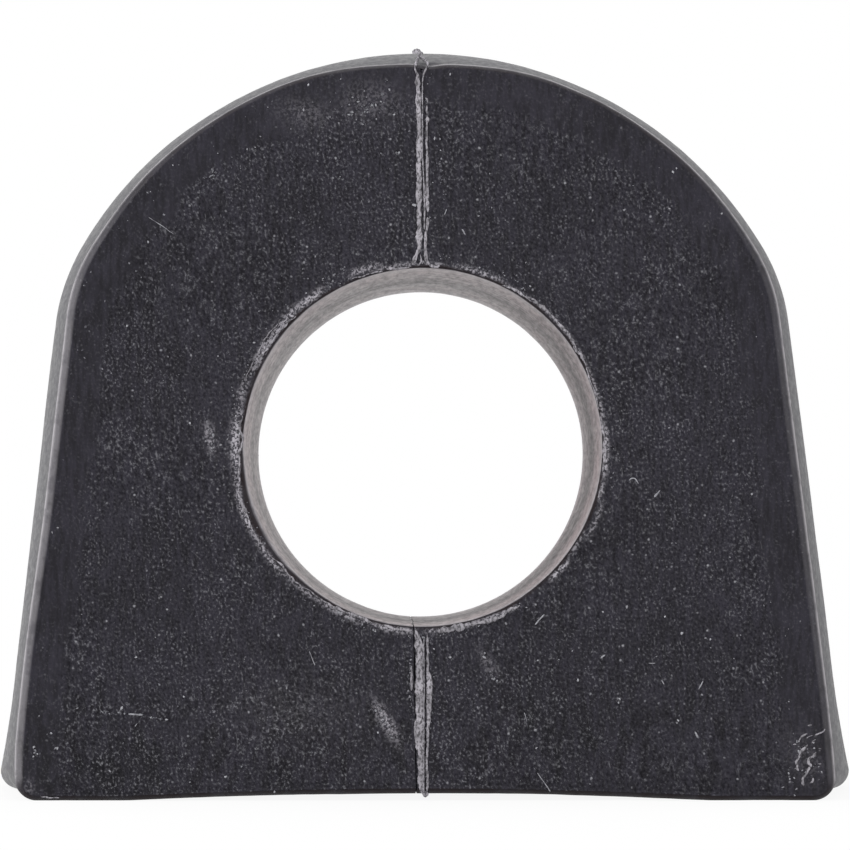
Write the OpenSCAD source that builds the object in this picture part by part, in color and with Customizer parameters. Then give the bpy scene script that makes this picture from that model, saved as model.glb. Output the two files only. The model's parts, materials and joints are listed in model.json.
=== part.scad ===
// Split bushing for a sway bar: one moulding of black rubber with a D-shaped outline.
// The bore runs along Y, the flat base rests on z = 0, and the origin is the middle of the base.
// The outline is widest at mid-length and tapers towards both end faces, so that the bracket
// which wraps over it squeezes the middle first.

/* [Overall] */
// Length along the bar, from end face to end face
length = 45; // [30:1:70]
// Height of the bore's axis above the base
axis_height = 29.6; // [24:0.2:40]

/* [Bore] */
// Diameter of the bore that grips the bar
bore_d = 30; // [20:0.5:38]

/* [Outline at mid-length] */
// Radius of the crown, centred on the bore's axis
crown_r = 35; // [29:0.5:46]
// How far each flank lies inside the crown's circle
flank_inset = 1.5; // [0.5:0.1:3]
// Lean of each flank from upright, wider at the foot
flank_lean = 6.85; // [0:0.05:12]
// Radius that blends the crown into each flank
shoulder_r = 17; // [6:0.5:22]
// Radius of the two lower corners at the end faces
foot_r = 1.8; // [1:0.1:4]
// Radius of the two lower corners at mid-length
foot_r_mid = 1.3; // [0.6:0.1:4]
// How far the foot of each flank flares outwards at mid-length
foot_flare = 0.45; // [0:0.05:1]
// How far it draws in at the end faces
foot_tuck = 0.35; // [0:0.05:0.8]
// Height over which the foot flares and draws in
flare_height = 10; // [4.5:0.5:14]

/* [Base] */
// Depth of the shallow hollow between the two pads that the base rests on
hollow_depth = 0.58; // [0.2:0.02:1]
// Width of that hollow
hollow_w = 49; // [30:1:60]

/* [Taper and edges] */
// How far the outline at mid-length stands outside the outline at the ends
taper_in = 2.4; // [0.5:0.1:4]
// Half of the length over which the ridge between the two tapers is rounded
ridge_half = 2.7; // [1:0.1:6]
// Radius of the rounded edge around each end face
edge_r = 0.6; // [0.2:0.1:1]
// Depth of the flat on the crown beside the seam, where it meets the end faces
crown_flat = 0.42; // [0:0.02:0.5]
// Angle from the seam at which that flat has run out
crown_flat_angle = 20; // [18:1:30]

/* [Split and seam] */
// Gap of the knife cut that lets the bushing open over the bar
split_gap = 0.15; // [0.1:0.05:1]
// Distance of the cut from the bore's axis at the front end of the bore, to the left
split_offset = 0.75; // [0.5:0.05:3]
// Angle by which the knife drifted to the left on its way to the back face
split_skew = 0.2; // [0:0.1:1.5]
// Angle by which the cut leans to the right on its way down to the base
split_lean = 0.9; // [0:0.1:1.5]
// Distance of the mould's seam from the bore's axis, to the right
seam_offset = 0.2; // [0:0.05:0.4]
// Thickness of the seam's flash
seam_w = 0.3; // [0.1:0.05:0.6]
// How far the flash stands out of the end faces
seam_face_h = 0.12; // [0.05:0.01:0.3]
// How far the flash stands out of the crown
seam_crown_h = 0.3; // [0.1:0.05:0.6]
// How far the flash stands out of the hollow in the base
seam_base_h = 0.35; // [0.1:0.05:0.5]

/* [Hidden] */

rubber = [0.13, 0.13, 0.14];
half_length = length / 2;
flank_dist = crown_r - flank_inset;
// The shoulder's centre lies where circles inside the crown and inside the flank meet
shoulder_rise = sqrt(pow(crown_r - shoulder_r, 2) - pow(flank_dist - shoulder_r, 2));
shoulder_turn = atan2(shoulder_rise, flank_dist - shoulder_r);
shoulder_end = flank_lean + shoulder_turn;
pad_x = hollow_w / 2;

crown_steps = 36;
shoulder_steps = 6;
flare_steps = 4;
foot_steps = 5;
hollow_steps = 10;
edge_steps = 4;
taper_steps = 6;
// Rings crowd towards mid-length, where the ridge is rounded
ring_crowding = 1.5;
// Past the far side of whatever is cut
past = 1;

function unit(angle) = [cos(angle), sin(angle)];
function reversed(list) = [for (i = [len(list) - 1:-1:0]) list[i]];
function mirrored(points) = [for (p = reversed(points)) [-p[0], p[1]]];

// How far the section at y has tapered in from the outline at mid-length
function tapered(y) =
    let (
        here = sqrt(y * y + ridge_half * ridge_half) - ridge_half,
        end = sqrt(half_length * half_length + ridge_half * ridge_half) - ridge_half
    ) taper_in * here / end;

// Depth of the crown's flat at an angle from upright: deepest at the seam and at the ends
function flattened(angle, y) =
    abs(angle) >= crown_flat_angle ? 0
    : crown_flat * pow(y / half_length, 2) * pow(cos(90 * angle / crown_flat_angle), 2);

// Height of the base above z = 0: two flat pads with an arched hollow between them
function base_z(x) = abs(x) >= pad_x ? 0 : hollow_depth * (1 - pow(x / pad_x, 2));

// How far the flank has flared out at a height above the base: less and less as the outline
// tapers in, until it draws in at the end faces
function flared(z, d) =
    z >= flare_height ? 0
    : (foot_flare - (foot_flare + foot_tuck) * d / taper_in) * pow(1 - z / flare_height, 2);

// The flank's x at a height above the base, where the outline has tapered in by d and the
// rounded edge has drawn it in by e
function flank_x(z, d, e) =
    (flank_dist - d - e) / cos(flank_lean) + (axis_height - z) * tan(flank_lean) + flared(z, d);

// Right half of a section's outline, from the crown's top down to the middle of the base.
// d is how far it has tapered in, and e how far the rounded edge has drawn it in all round.
function half_outline(y, d, e) =
    let (
        inside = d + e,
        corner_z = foot_r_mid + (foot_r - foot_r_mid) * d / taper_in,
        axis = [0, axis_height],
        crown = [for (i = [0:crown_steps / 2 - 1])
            let (angle = (90 - shoulder_end) * i / (crown_steps / 2))
            axis + (crown_r - inside - flattened(angle, y)) * unit(90 - angle)],
        shoulder = [for (i = [0:shoulder_steps])
            axis + (crown_r - shoulder_r) * unit(shoulder_end)
            + (shoulder_r - inside) * unit(shoulder_end - shoulder_turn * i / shoulder_steps)],
        r = corner_z - e,
        corner_x = flank_x(corner_z, d, e) - r / cos(flank_lean),
        flank = [for (i = [0:flare_steps])
            let (z = flare_height + (corner_z - flare_height) * i / flare_steps)
            [flank_x(z, d, e), z]],
        foot = [for (i = [1:foot_steps])
            let (angle = flank_lean - (90 + flank_lean) * i / foot_steps)
            [corner_x, corner_z] + r * unit(angle)],
        base = [for (i = [0:hollow_steps / 2])
            let (x = pad_x * (1 - 2 * i / hollow_steps)) [x, base_z(x) + e]]
    ) concat(crown, shoulder, flank, foot, base);

// Whole outline as points at y, in order around the section, without repeating the two ends
function ring(y, d, e) =
    let (
        right = half_outline(y, d, e),
        left = mirrored([for (i = [1:len(right) - 2]) right[i]])
    ) [for (p = concat(right, left)) [p[0], y, p[1]]];

// Rings from mid-length to the end face: the taper first, then the rounded edge
half_rings = concat(
    [for (i = [0:taper_steps])
        let (y = (half_length - edge_r) * pow(i / taper_steps, ring_crowding))
        [y, tapered(y), 0]],
    [for (i = [1:edge_steps])
        let (angle = 90 * i / edge_steps, y = half_length - edge_r * (1 - sin(angle)))
        [y, tapered(half_length - edge_r), edge_r * (1 - cos(angle))]]
);
rings = concat(
    [for (r = reversed(half_rings)) [-r[0], r[1], r[2]]],
    [for (i = [1:len(half_rings) - 1]) half_rings[i]]
);

// Solid loft through the rings, closed by a fan of triangles from the axis at each end
module loft() {
    sections = [for (r = rings) ring(r[0], r[1], r[2])];
    n = len(sections[0]);
    last = len(sections) - 1;
    points = concat(
        [for (s = sections) each s],
        [[0, -half_length, axis_height], [0, half_length, axis_height]]
    );
    front_hub = len(points) - 2;
    back_hub = len(points) - 1;
    walls = [for (k = [0:last - 1], i = [0:n - 1])
        let (a = k * n + i, b = k * n + (i + 1) % n, c = b + n, e = a + n)
        each [[a, c, b], [a, e, c]]];
    front = [for (i = [0:n - 1]) [front_hub, i, (i + 1) % n]];
    back = [for (i = [0:n - 1]) [back_hub, last * n + (i + 1) % n, last * n + i]];
    polyhedron(points = points, faces = concat(walls, front, back));
}

// Thin flash left where the mould's halves met: over the crown, down the end faces and along the base
module seam_flash() {
    face_y = half_length + seam_face_h;
    crown_line = [for (r = rings)
        [r[0], axis_height + crown_r - r[1] - r[2] - flattened(0, r[0]) + seam_crown_h]];
    low = hollow_depth - seam_base_h;
    shoulder_z = crown_line[0][1] - seam_crown_h - edge_r;
    translate([seam_offset - seam_w / 2, 0, 0])
        rotate([90, 0, 90])
            linear_extrude(seam_w)
                polygon(concat(
                    [[-face_y, low + edge_r], [-face_y, shoulder_z]],
                    crown_line,
                    [[face_y, shoulder_z], [face_y, low + edge_r],
                     [half_length - edge_r, low], [-half_length + edge_r, low]]
                ));
}

module bore() {
    translate([0, 0, axis_height])
        rotate([90, 0, 0])
            cylinder(d = bore_d, h = length + 2 * (seam_face_h + past), center = true, $fn = 128);
}

// Knife cut from the bore down through the base
module split() {
    over = seam_face_h + past;
    bore_floor = axis_height - bore_d / 2;
    translate([-split_offset, -half_length, bore_floor])
        rotate([0, -split_lean, split_skew])
            translate([-split_gap / 2, -over, -bore_floor - past])
                cube([split_gap, length + 2 * over, axis_height + past]);
}

module bushing() {
    color(rubber) {
        difference() {
            loft();
            bore();
            split();
        }
        difference() {
            seam_flash();
            bore();
        }
    }
}

bushing();
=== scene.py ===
import json
import math

import bpy
import numpy as np
from bpy.props import FloatProperty, FloatVectorProperty, IntProperty, PointerProperty
from bpy.types import Operator, Panel, PropertyGroup
from mathutils import Matrix


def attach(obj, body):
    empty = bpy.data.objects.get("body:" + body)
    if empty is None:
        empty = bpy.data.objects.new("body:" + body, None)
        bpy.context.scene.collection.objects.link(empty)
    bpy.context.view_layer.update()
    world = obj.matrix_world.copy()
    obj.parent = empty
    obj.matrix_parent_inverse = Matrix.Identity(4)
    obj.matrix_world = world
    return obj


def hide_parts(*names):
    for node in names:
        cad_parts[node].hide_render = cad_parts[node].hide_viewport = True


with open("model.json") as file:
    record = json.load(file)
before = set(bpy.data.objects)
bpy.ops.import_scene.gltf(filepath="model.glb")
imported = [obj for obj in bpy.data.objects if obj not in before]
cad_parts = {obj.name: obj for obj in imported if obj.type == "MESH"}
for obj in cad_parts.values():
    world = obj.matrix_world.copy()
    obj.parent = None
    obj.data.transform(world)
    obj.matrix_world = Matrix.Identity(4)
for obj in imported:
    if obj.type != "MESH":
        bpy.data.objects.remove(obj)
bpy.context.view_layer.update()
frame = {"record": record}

bl_info = {
    "name": "Sway bar bushing",
    "version": (1, 0, 0),
    "blender": (4, 5, 0),
    "location": "View3D > Sidebar > Bushing",
    "description": "Moulded rubber bushing with its pebbled grain, torn flash, split and stage",
    "category": "Object",
}

MM = 0.001
BODY = "root"
NODE = "bushing"
FRONT = -1
BACK = 1
MOUNTS = {m["name"]: m for m in frame["record"]["mounts"]}
BORE = MOUNTS["bore"]
AXIS_Z = BORE["pos_m"][2]
CROWN_TOP = MOUNTS["bracket_saddle"]["pos_m"][2]


def size_property(name, description, default):
    """Length in metres, with its name and what it measures."""
    return FloatProperty(
        name=name, description=description, default=default, min=0.0, unit="LENGTH", precision=5
    )


def angle_property(name, description, degrees):
    """Angle with its name and what it measures, its default given in degrees."""
    return FloatProperty(
        name=name, description=description, default=math.radians(degrees), subtype="ANGLE"
    )


def color_property(name, description, default):
    """Linear colour with its name and what it covers."""
    return FloatVectorProperty(
        name=name, description=description, default=default, min=0.0, max=1.0, size=3, subtype="COLOR"
    )


class BushingSizes(PropertyGroup):
    """Driving sizes of the moulding. The left flank lies and leans a little further in."""

    length: size_property("Length", "From end face to end face", BORE["dims"]["length_mm"] * MM)
    bore_radius: size_property("Bore radius", "Radius of the hole for the bar", BORE["dims"]["r_mm"] * MM)
    axis_height: size_property("Axis height", "Height of the bore's axis above the base", AXIS_Z)
    crown_radius: size_property("Crown radius", "Radius of the crown at mid-length", CROWN_TOP - AXIS_Z)
    right_inset: size_property("Right inset", "How far the right flank lies inside the crown", 1.5 * MM)
    left_inset: size_property("Left inset", "How far the left flank lies inside the crown", 1.7 * MM)
    right_lean: angle_property("Right lean", "Lean of the right flank, wider at the foot", 7.1)
    left_lean: angle_property("Left lean", "Lean of the left flank, wider at the foot", 6.4)
    shoulder_radius: size_property("Shoulder radius", "Radius that blends crown and flank", 17 * MM)
    foot_radius: size_property("Foot radius", "Radius of the lower corners at the ends", 1.8 * MM)
    foot_radius_mid: size_property("Foot radius mid", "Radius of the lower corners at mid-length", 1.5 * MM)
    foot_rounding: size_property("Foot rounding", "How much larger that radius is halfway between", 0.7 * MM)
    foot_flare: size_property("Foot flare", "How far the foot of each flank flares at mid-length", 0.45 * MM)
    foot_tuck: size_property("Foot tuck", "How far the foot draws in at the end faces", 0.35 * MM)
    flare_height: size_property("Flare height", "Height over which the foot flares and draws in", 10 * MM)
    left_swell: size_property("Left swell", "How far the lower left flank swells at the ends", 0.3 * MM)
    left_dent: size_property("Left dent", "How far the left shoulder lies inside the circle", 0.16 * MM)
    right_dent: size_property("Right dent", "How far the right shoulder lies inside the circle", 0.07 * MM)
    hollow_depth: size_property("Hollow depth", "Depth of the hollow between the pads", 0.58 * MM)
    hollow_width: size_property("Hollow width", "Width of the hollow between the pads", 49 * MM)
    taper: size_property("Taper", "How far mid-length stands outside the ends", 2.4 * MM)
    ridge_half: size_property("Ridge", "Half of the length of the rounded ridge", 2.7 * MM)
    edge_depth: size_property("Edge depth", "How far back the edge of each end face reaches", 0.6 * MM)
    edge_crown: size_property("Crown edge", "Width of that edge over the crown", 0.42 * MM)
    edge_flank: size_property("Flank edge", "Width of that edge along the flanks", 0.82 * MM)
    crown_flat: size_property("Crown flat", "Depth of the flat beside the seam", 0.42 * MM)
    crown_flat_angle: angle_property("Crown flat angle", "Angle at which the flat has run out", 20)
    split_gap: size_property("Split gap", "Gap of the knife cut", 0.09 * MM)
    split_waver: size_property("Split waver", "How far the knife wavered to either side", 0.1 * MM)
    split_offset: size_property("Split offset", "Distance of the cut to the left of the axis", 0.75 * MM)
    split_skew: angle_property("Split skew", "How the cut drifts to the left towards the back", 0.2)
    split_lean: angle_property("Split lean", "How the cut leans to the right towards the base", 0.9)
    seam_offset: size_property("Seam offset", "Distance of the seam to the right of the axis", 0.2 * MM)


class BushingFinish(PropertyGroup):
    """Colours and textures of the rubber."""

    rubber: color_property("Rubber", "Moulded black rubber", (0.0124, 0.0116, 0.0165))
    # Pale colour of rubbed edges, which also paints the highlight along the faces' edges and the bore's rim
    rubbed: color_property("Rubbed rubber", "Edges that have been rubbed", (0.43, 0.41, 0.43))
    flash: color_property("Flash", "Thin torn rubber at the seam and the rims", (0.325, 0.31, 0.34))
    # Pale colour of specks and lint, which also paints the glints on the faces' pebbles
    dust_and_glint: color_property("Dust", "Specks and lint on the faces", (0.40, 0.40, 0.43))
    # Bore's colour: its lighter gains are partly painted sheen, and its darkest gain is the painted shade
    # along the edges
    bore_wall: color_property("Bore wall", "Dusty rubber inside the bore", (0.172, 0.125, 0.13))
    grain: size_property("Grain", "Distance between two pebbles of the grain", 0.21 * MM)
    grain_depth: size_property("Grain depth", "Height of the pebbles", 0.05 * MM)
    margin: size_property("Smooth margin", "Width of the smooth margin along crown and flanks", 3.6 * MM)
    seed: IntProperty(name="Seed", description="Start of every random draw", default=7, min=0)


# Numbers of stations round the half outline, and of columns round the section
BASE_STEPS = 86
FOOT_STEPS = 14
FLANK_STEPS = 74
SHOULDER_STEPS = 20
CROWN_STEPS = 98
FRONT_COLUMNS = (17, 48)
BACK_COLUMNS = (8, 28)
EDGE_COLUMNS = 9
WALL_COLUMNS = 11
BORE_COLUMNS = 3

# Worn edge of the bore: turn from the wall to the face, how rubbed it is there with a painted highlight, and
# how much painted shade it has there
BORE_EDGE_TURNS = np.radians([0, 24, 42, 58, 75])
BORE_EDGE_RUB_AND_HIGHLIGHT = np.array([0.6, 1.0, 0.4, 0.0, 0.0])
BORE_EDGE_SHADED = np.array([0.0, 0.0, 0.45, 0.85, 1.0])

# Where the bore's rim is torn: angle from straight down to the right and its spread in degrees,
# strength, and distance from the rim and its spread in millimetres
RIM_TEARS = [
    (5, 4, 0.75, 0.4, 0.25), (14, 6, 0.8, 0.35, 0.2), (24, 6, 0.75, 0.42, 0.22), (48, 4, 0.95, 0.45, 0.2),
    (58, 5, 0.5, 0.25, 0.14), (67, 6, 0.4, 0.75, 0.2), (76, 3, 0.6, 0.35, 0.18), (89, 8, 0.95, 0.36, 0.22),
    (107, 12, 0.55, 0.3, 0.14), (131, 13, 0.5, 0.4, 0.14), (148, 7, 0.5, 0.32, 0.14),
    (162, 8, 0.6, 0.4, 0.22),
    (176, 4, 0.5, 0.35, 0.18), (188, 7, 0.55, 0.3, 0.2), (198, 5, 0.5, 0.7, 0.3), (217, 5, 0.9, 0.6, 0.3),
    (228, 8, 0.8, 0.6, 0.4), (239, 8, 0.9, 0.6, 0.36), (255, 8, 0.4, 0.8, 0.35), (268, 9, 1.0, 0.6, 0.45),
    (280, 5, 0.6, 0.8, 0.3), (290, 7, 0.75, 1.0, 0.25), (303, 10, 0.6, 0.85, 0.25), (317, 8, 0.5, 0.55, 0.2),
    (333, 8, 0.7, 0.4, 0.3), (342, 5, 0.6, 0.3, 0.3), (351, 6, 0.75, 0.4, 0.32),
]

# Hazy places on the front face: middle, half sizes, lean to the left on the way up, and strength
HAZES = [
    (32.0, 3.5, 1.5, 2.2, 0.3, 0.08), (-3.1, 6.6, 0.5, 1.4, 0.5, 0.75), (-17.8, 30.4, 0.35, 1.1, 0.2, 0.6),
    (-4.4, 58.6, 2.4, 1.6, 0.0, 0.12), (-10.0, 57.6, 2.2, 1.2, 0.3, 0.12), (-10.5, 7.4, 5.0, 2.2, 0.0, 0.06),
    (5.4, 11.6, 0.5, 1.0, 0.5, 0.2), (-32.9, 1.2, 0.4, 0.6, 0.0, 0.2),
]


def smoothstep(low, high, value):
    """0 below low, 1 above high, and 3t^2 - 2t^3 of the share t in between. It runs the other way
    where low is the larger."""
    t = np.clip((value - low) / (high - low), 0, 1)
    return t * t * (3 - 2 * t)


def waves(points, wavelength, seed, count=28):
    """Smooth noise of about unit size: a sum of plane waves of random heading and phase, whose
    lengths lie around the one given, divided by the root of half their number."""
    rng = np.random.default_rng(seed)
    flat = points.reshape(-1, points.shape[-1])
    heading = rng.normal(size=(count, flat.shape[1]))
    heading /= np.linalg.norm(heading, axis=1, keepdims=True)
    turns = 2 * np.pi / (wavelength * rng.uniform(0.7, 1.4, (count, 1)))
    phase = rng.uniform(0, 2 * np.pi, count)
    total = np.sin(flat @ (heading * turns).T + phase).sum(axis=1)
    return (total / math.sqrt(count / 2)).reshape(points.shape[:-1])


def unit(vectors):
    """Each vector divided by its own length."""
    return vectors / np.maximum(np.linalg.norm(vectors, axis=-1, keepdims=True), 1e-12)


def turned(angle, degrees):
    """Angle from a direction given in degrees, between minus and plus half a turn."""
    return (angle - math.radians(degrees) + math.pi) % (2 * math.pi) - math.pi


def new_object(name, points, faces, material, sharp=180, attributes=()):
    """Mesh object from points and faces, smooth but for edges sharper than the angle given, with
    named numbers on its points, riding the body."""
    mesh = bpy.data.meshes.new(name)
    mesh.from_pydata(points.reshape(-1, 3).tolist(), [], faces)
    mesh.polygons.foreach_set("use_smooth", np.ones(len(mesh.polygons), bool))
    mesh.set_sharp_from_angle(angle=math.radians(sharp))
    for key, values in dict(attributes).items():
        made = mesh.attributes.new(key, "FLOAT", "POINT")
        made.data.foreach_set("value", values.astype(np.float32).ravel())
    mesh.materials.append(material)
    piece = bpy.data.objects.new(name, mesh)
    bpy.context.scene.collection.objects.link(piece)
    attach(piece, BODY)
    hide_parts(NODE)
    return piece


def tube_faces(rows, columns, first=0):
    """Quads of a tube of that many rings, each closed, and a polygon on each end ring. The points
    of the tube start at the index given."""
    ring = np.arange(columns)
    after = (ring + 1) % columns
    row = np.arange(rows - 1)[:, None] * columns
    quads = np.stack([row + ring, row + after, row + columns + after, row + columns + ring], axis=-1)
    faces = (quads + first).reshape(-1, 4).tolist()
    return faces + [(ring[::-1] + first).tolist(), (ring + (rows - 1) * columns + first).tolist()]


# Outline


def flanks(s):
    """Lean, inset, swell and dent of the right flank, and of the left one."""
    right = (s.right_lean, s.right_inset, 0.0, s.right_dent)
    return right, (s.left_lean, s.left_inset, s.left_swell, s.left_dent)


def tapered(s, y):
    """How far the section at y has tapered in: a hyperbola of y, straight but for the ridge."""
    half = s.length / 2
    here = np.sqrt(y * y + s.ridge_half ** 2) - s.ridge_half
    end = math.sqrt(half ** 2 + s.ridge_half ** 2) - s.ridge_half
    return s.taper * here / end


def base_height(s, x):
    """Height of the base: a parabola over the hollow, and nothing on the pads."""
    share = np.clip(np.abs(x) / (s.hollow_width / 2), 0, 1)
    return s.hollow_depth * (1 - share ** 2)


def flank_x(s, flank, z, taper, edge=0.0):
    """Distance of a flank from the middle at a height: a leaning line, flared at mid-length and drawn
    in at the ends by the square of the share left below the flare's height, and swollen low down at
    the ends."""
    lean, inset, swell, _ = flank
    line = (s.crown_radius - inset - taper - edge) / math.cos(lean)
    share = taper / s.taper
    flare = (s.foot_flare - (s.foot_flare + s.foot_tuck) * share) * np.clip(1 - z / s.flare_height, 0, 1) ** 2
    low = smoothstep(26 * MM, 12 * MM, z) * smoothstep(-1 * MM, 5 * MM, z)
    return line + (s.axis_height - z) * math.tan(lean) + flare + swell * share * low


def half_outline(s, flank, y, taper, edge, slit):
    """One half of the outline from the slit's edge to the crown's top, as x and z arrays with a
    row for each station and a column for each section. Sections are given by their y, how far
    they taper in, and how far a rounded edge draws them in. The shoulder's centre lies where a
    circle inside the crown and a line inside the flank meet. The dent is a bell curve of z, and the
    foot's radius follows a parabola of the taper."""
    lean, inset, _, dent = flank
    y, taper, edge = (np.asarray(a, float)[None, :] for a in (y, taper, edge))
    inside = taper + edge
    share = taper / s.taper
    corner_z = s.foot_radius_mid + (s.foot_radius - s.foot_radius_mid) * share
    corner_z = corner_z + 4 * s.foot_rounding * share * (1 - share)
    foot = corner_z - edge
    corner_x = flank_x(s, flank, corner_z, taper, edge) - foot / math.cos(lean)
    across = s.crown_radius - inset - s.shoulder_radius
    rise = math.sqrt((s.crown_radius - s.shoulder_radius) ** 2 - across ** 2)
    high = lean + math.atan2(rise, across)

    def shares(count, power=1.0):
        return (np.arange(count) / count)[:, None] ** power

    base_x = slit + (corner_x - slit) * shares(BASE_STEPS, 1.15)
    turn = -math.pi / 2 + (lean + math.pi / 2) * shares(FOOT_STEPS)
    foot_x = corner_x + foot * np.cos(turn)
    foot_z = corner_z + foot * np.sin(turn)
    centre_x = (s.crown_radius - s.shoulder_radius) * math.cos(high)
    centre_z = s.axis_height + (s.crown_radius - s.shoulder_radius) * math.sin(high)
    start_z = corner_z + foot * math.sin(lean)
    end_z = centre_z + (s.shoulder_radius - inside) * math.sin(lean)
    flank_z = start_z + (end_z - start_z) * shares(FLANK_STEPS)
    turn = lean + (high - lean) * shares(SHOULDER_STEPS)
    shoulder_x = centre_x + (s.shoulder_radius - inside) * np.cos(turn)
    shoulder_z = centre_z + (s.shoulder_radius - inside) * np.sin(turn)
    from_top = (math.pi / 2 - high) * (1 - np.arange(CROWN_STEPS + 1) / CROWN_STEPS)[:, None] ** 1.25
    flat = np.cos(np.clip(from_top / s.crown_flat_angle, 0, 1) * math.pi / 2) ** 2
    radius = s.crown_radius - inside - s.crown_flat * (y / (s.length / 2)) ** 2 * flat
    crown_x = radius * np.sin(from_top)
    crown_z = s.axis_height + radius * np.cos(from_top)
    x = np.concatenate([base_x, foot_x, flank_x(s, flank, flank_z, taper, edge), shoulder_x, crown_x])
    z = np.concatenate([base_height(s, base_x) + edge, foot_z, flank_z, shoulder_z, crown_z])
    return x - dent * np.exp(-((z / MM - 47.5) / 5) ** 2), z


def outline(s, y, taper, edge):
    """Whole outline from the slit's right edge, up over the crown and down to its left edge."""
    right, left = flanks(s)
    right = half_outline(s, right, y, taper, edge, -s.split_offset + s.split_gap / 2)
    left = half_outline(s, left, y, taper, edge, s.split_offset + s.split_gap / 2)
    x = np.concatenate([right[0], -left[0][-2::-1]])
    z = np.concatenate([right[1], left[1][-2::-1]])
    return x, z


def end_taper(s):
    """How far the outline has tapered in where the edge of an end face starts."""
    return float(tapered(s, s.length / 2 - s.edge_depth))


def end_edge(s):
    """Outer line of an end face's edge, as x and z with a row for each station, and the step
    from it to the inner line: broad along the flanks, narrow over the crown and along the base.
    The line dips under the crown to the right of the seam, by a bell curve of x."""
    y = s.length / 2 - s.edge_depth
    x, z = outline(s, [y, y], [end_taper(s)] * 2, [0.0, s.edge_depth])
    line = np.stack([x[:, 0], z[:, 0]], axis=-1)
    inward = np.stack([x[:, 1], z[:, 1]], axis=-1) - line
    line[:, 1] -= 0.2 * MM * np.exp(-(line[:, 0] / MM - 0.6) ** 2) * (line[:, 1] > s.axis_height)
    up = np.arctan2(line[:, 1] - s.axis_height, np.abs(line[:, 0]))
    broad = smoothstep(math.radians(62), math.radians(15), up) * smoothstep(0.3 * MM, 1.8 * MM, line[:, 1])
    width = s.edge_crown + (s.edge_flank - s.edge_crown) * broad
    return line, inward * (width / s.edge_depth)[:, None]


def margin_depth(s, x, z):
    """Distance inwards from the crown's circle, above the axis, or from the nearer flank."""
    inside = end_taper(s)
    right, left = flanks(s)
    side = np.where(x > 0, flank_x(s, right, z, inside), flank_x(s, left, z, inside))
    flank = (side - np.abs(x)) * math.cos(s.right_lean)
    crown = s.crown_radius - inside - np.hypot(x, z - s.axis_height)
    return np.where(z > s.axis_height, np.minimum(flank, crown), flank)


class Rays:
    """Straight rays on the end faces from the bore's circle to the inner line of the edge, one for
    each station. The bore's point lies at the same angle from the axis as the outline's, but for
    a share near the slit that keeps the slit's two walls upright."""

    def __init__(self, s):
        line, inward = end_edge(s)
        x, z = (line + inward).T
        angle = np.unwrap(np.arctan2(x, s.axis_height - z))
        first = math.asin(x[0] / s.bore_radius) - angle[0]
        last = 2 * math.pi + math.asin(x[-1] / s.bore_radius) - angle[-1]
        fade = math.radians(30)
        near_first = np.exp(-(angle - angle[0]) / fade)
        near_last = np.exp((angle - angle[-1]) / fade)
        self.angle = angle + first * near_first + last * near_last
        self.start = np.stack([
            s.bore_radius * np.sin(self.angle), s.axis_height - s.bore_radius * np.cos(self.angle)
        ], axis=-1)
        self.reach = np.hypot(x - self.start[:, 0], z - self.start[:, 1])
        self.along = unit(np.stack([x, z], axis=-1) - self.start)

    def at(self, distance):
        """Points at distances from the bore's circle, a row for each ray."""
        return self.start[:, None, :] + self.along[:, None, :] * distance[..., None]


def bump_at(angle, degrees, spread):
    """Bell curve of the angle from a direction, both directions and spread in degrees."""
    return np.exp(-(turned(angle, degrees) / math.radians(spread)) ** 2)


def bore_edge(s, angle, seed):
    """Width and depth of the bore's worn edge: widest at the lower left, with fine noise."""
    around = np.stack([np.sin(angle), np.cos(angle)], axis=-1) * s.bore_radius
    width = 0.18 + 0.46 * bump_at(angle, 298, 22) + 0.12 * bump_at(angle, 234, 20)
    width = width + 0.03 * waves(around, 5 * MM, seed)
    depth = 0.3 + 0.1 * bump_at(angle, 302, 30) + 0.04 * waves(around, 3 * MM, seed + 1)
    return np.maximum(width, 0.1) * MM, np.maximum(depth, 0.15) * MM


def torn_share(angle, distance):
    """How torn a face is at an angle round the bore and a distance from its rim, from 0 to 1: the
    strongest of the torn places there."""
    total = np.zeros(distance.shape)
    for centre, spread, strength, offset, width in RIM_TEARS:
        along = (turned(angle, centre) / math.radians(spread)) ** 4
        across = ((distance / MM - offset) / width) ** 2
        total = np.maximum(total, strength * np.exp(-along - across))
    return total


def hazed_share(xz):
    """How hazy the front face is at points, from 0 to 1: the strongest of its hazy places there, each
    a bell curve across and up."""
    total = np.zeros(xz.shape[:-1])
    for x, z, wide, tall, lean, strength in HAZES:
        up = xz[..., 1] / MM - z
        across = xz[..., 0] / MM - x + lean * up
        total = np.maximum(total, strength * np.exp(-(across / wide) ** 2 - (up / tall) ** 2))
    return total


def face_relief(s, xz, rim_distance, seed):
    """How far an end face stands out: slow swells, low pebbles, long upright dimples near the
    base, a faint groove inside the flanks' edge, and a pinch under the crown at the seam."""
    x, z = xz[..., 0], xz[..., 1]
    swell = 0.035 * waves(xz, 16 * MM, seed)
    pebbles = 0.012 * waves(xz, 2.2 * MM, seed + 1, 40)
    upright = np.stack([x, z * 0.4], axis=-1)
    low = smoothstep(13 * MM, 4 * MM, z + 0.12 * x)
    dimples = -0.05 * np.maximum(waves(upright, 1.5 * MM, seed + 2, 40) - 0.35, 0) * (0.25 + low)
    inside = smoothstep(0.2 * MM, 1.6 * MM, rim_distance)
    groove = -0.06 * np.exp(-((rim_distance / MM - 0.25) / 0.16) ** 2) * smoothstep(50 * MM, 42 * MM, z)
    top = s.axis_height + s.crown_radius - end_taper(s) - s.crown_flat
    spread = 0.5 * MM * smoothstep(top - 0.9 * MM, top, z) + 1e-9
    pinch = -0.22 * np.clip(1 - np.abs(x + 0.1 * MM) / spread, 0, 1) * (z > s.axis_height)
    return ((swell + pebbles + dimples) * inside + groove + pinch) * MM


def above_base(line):
    """0 for the stations of an end face's line that lie along the base, and 1 for the others."""
    return smoothstep(0.5 * MM, 2.2 * MM, line[:, 1:])


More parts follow.
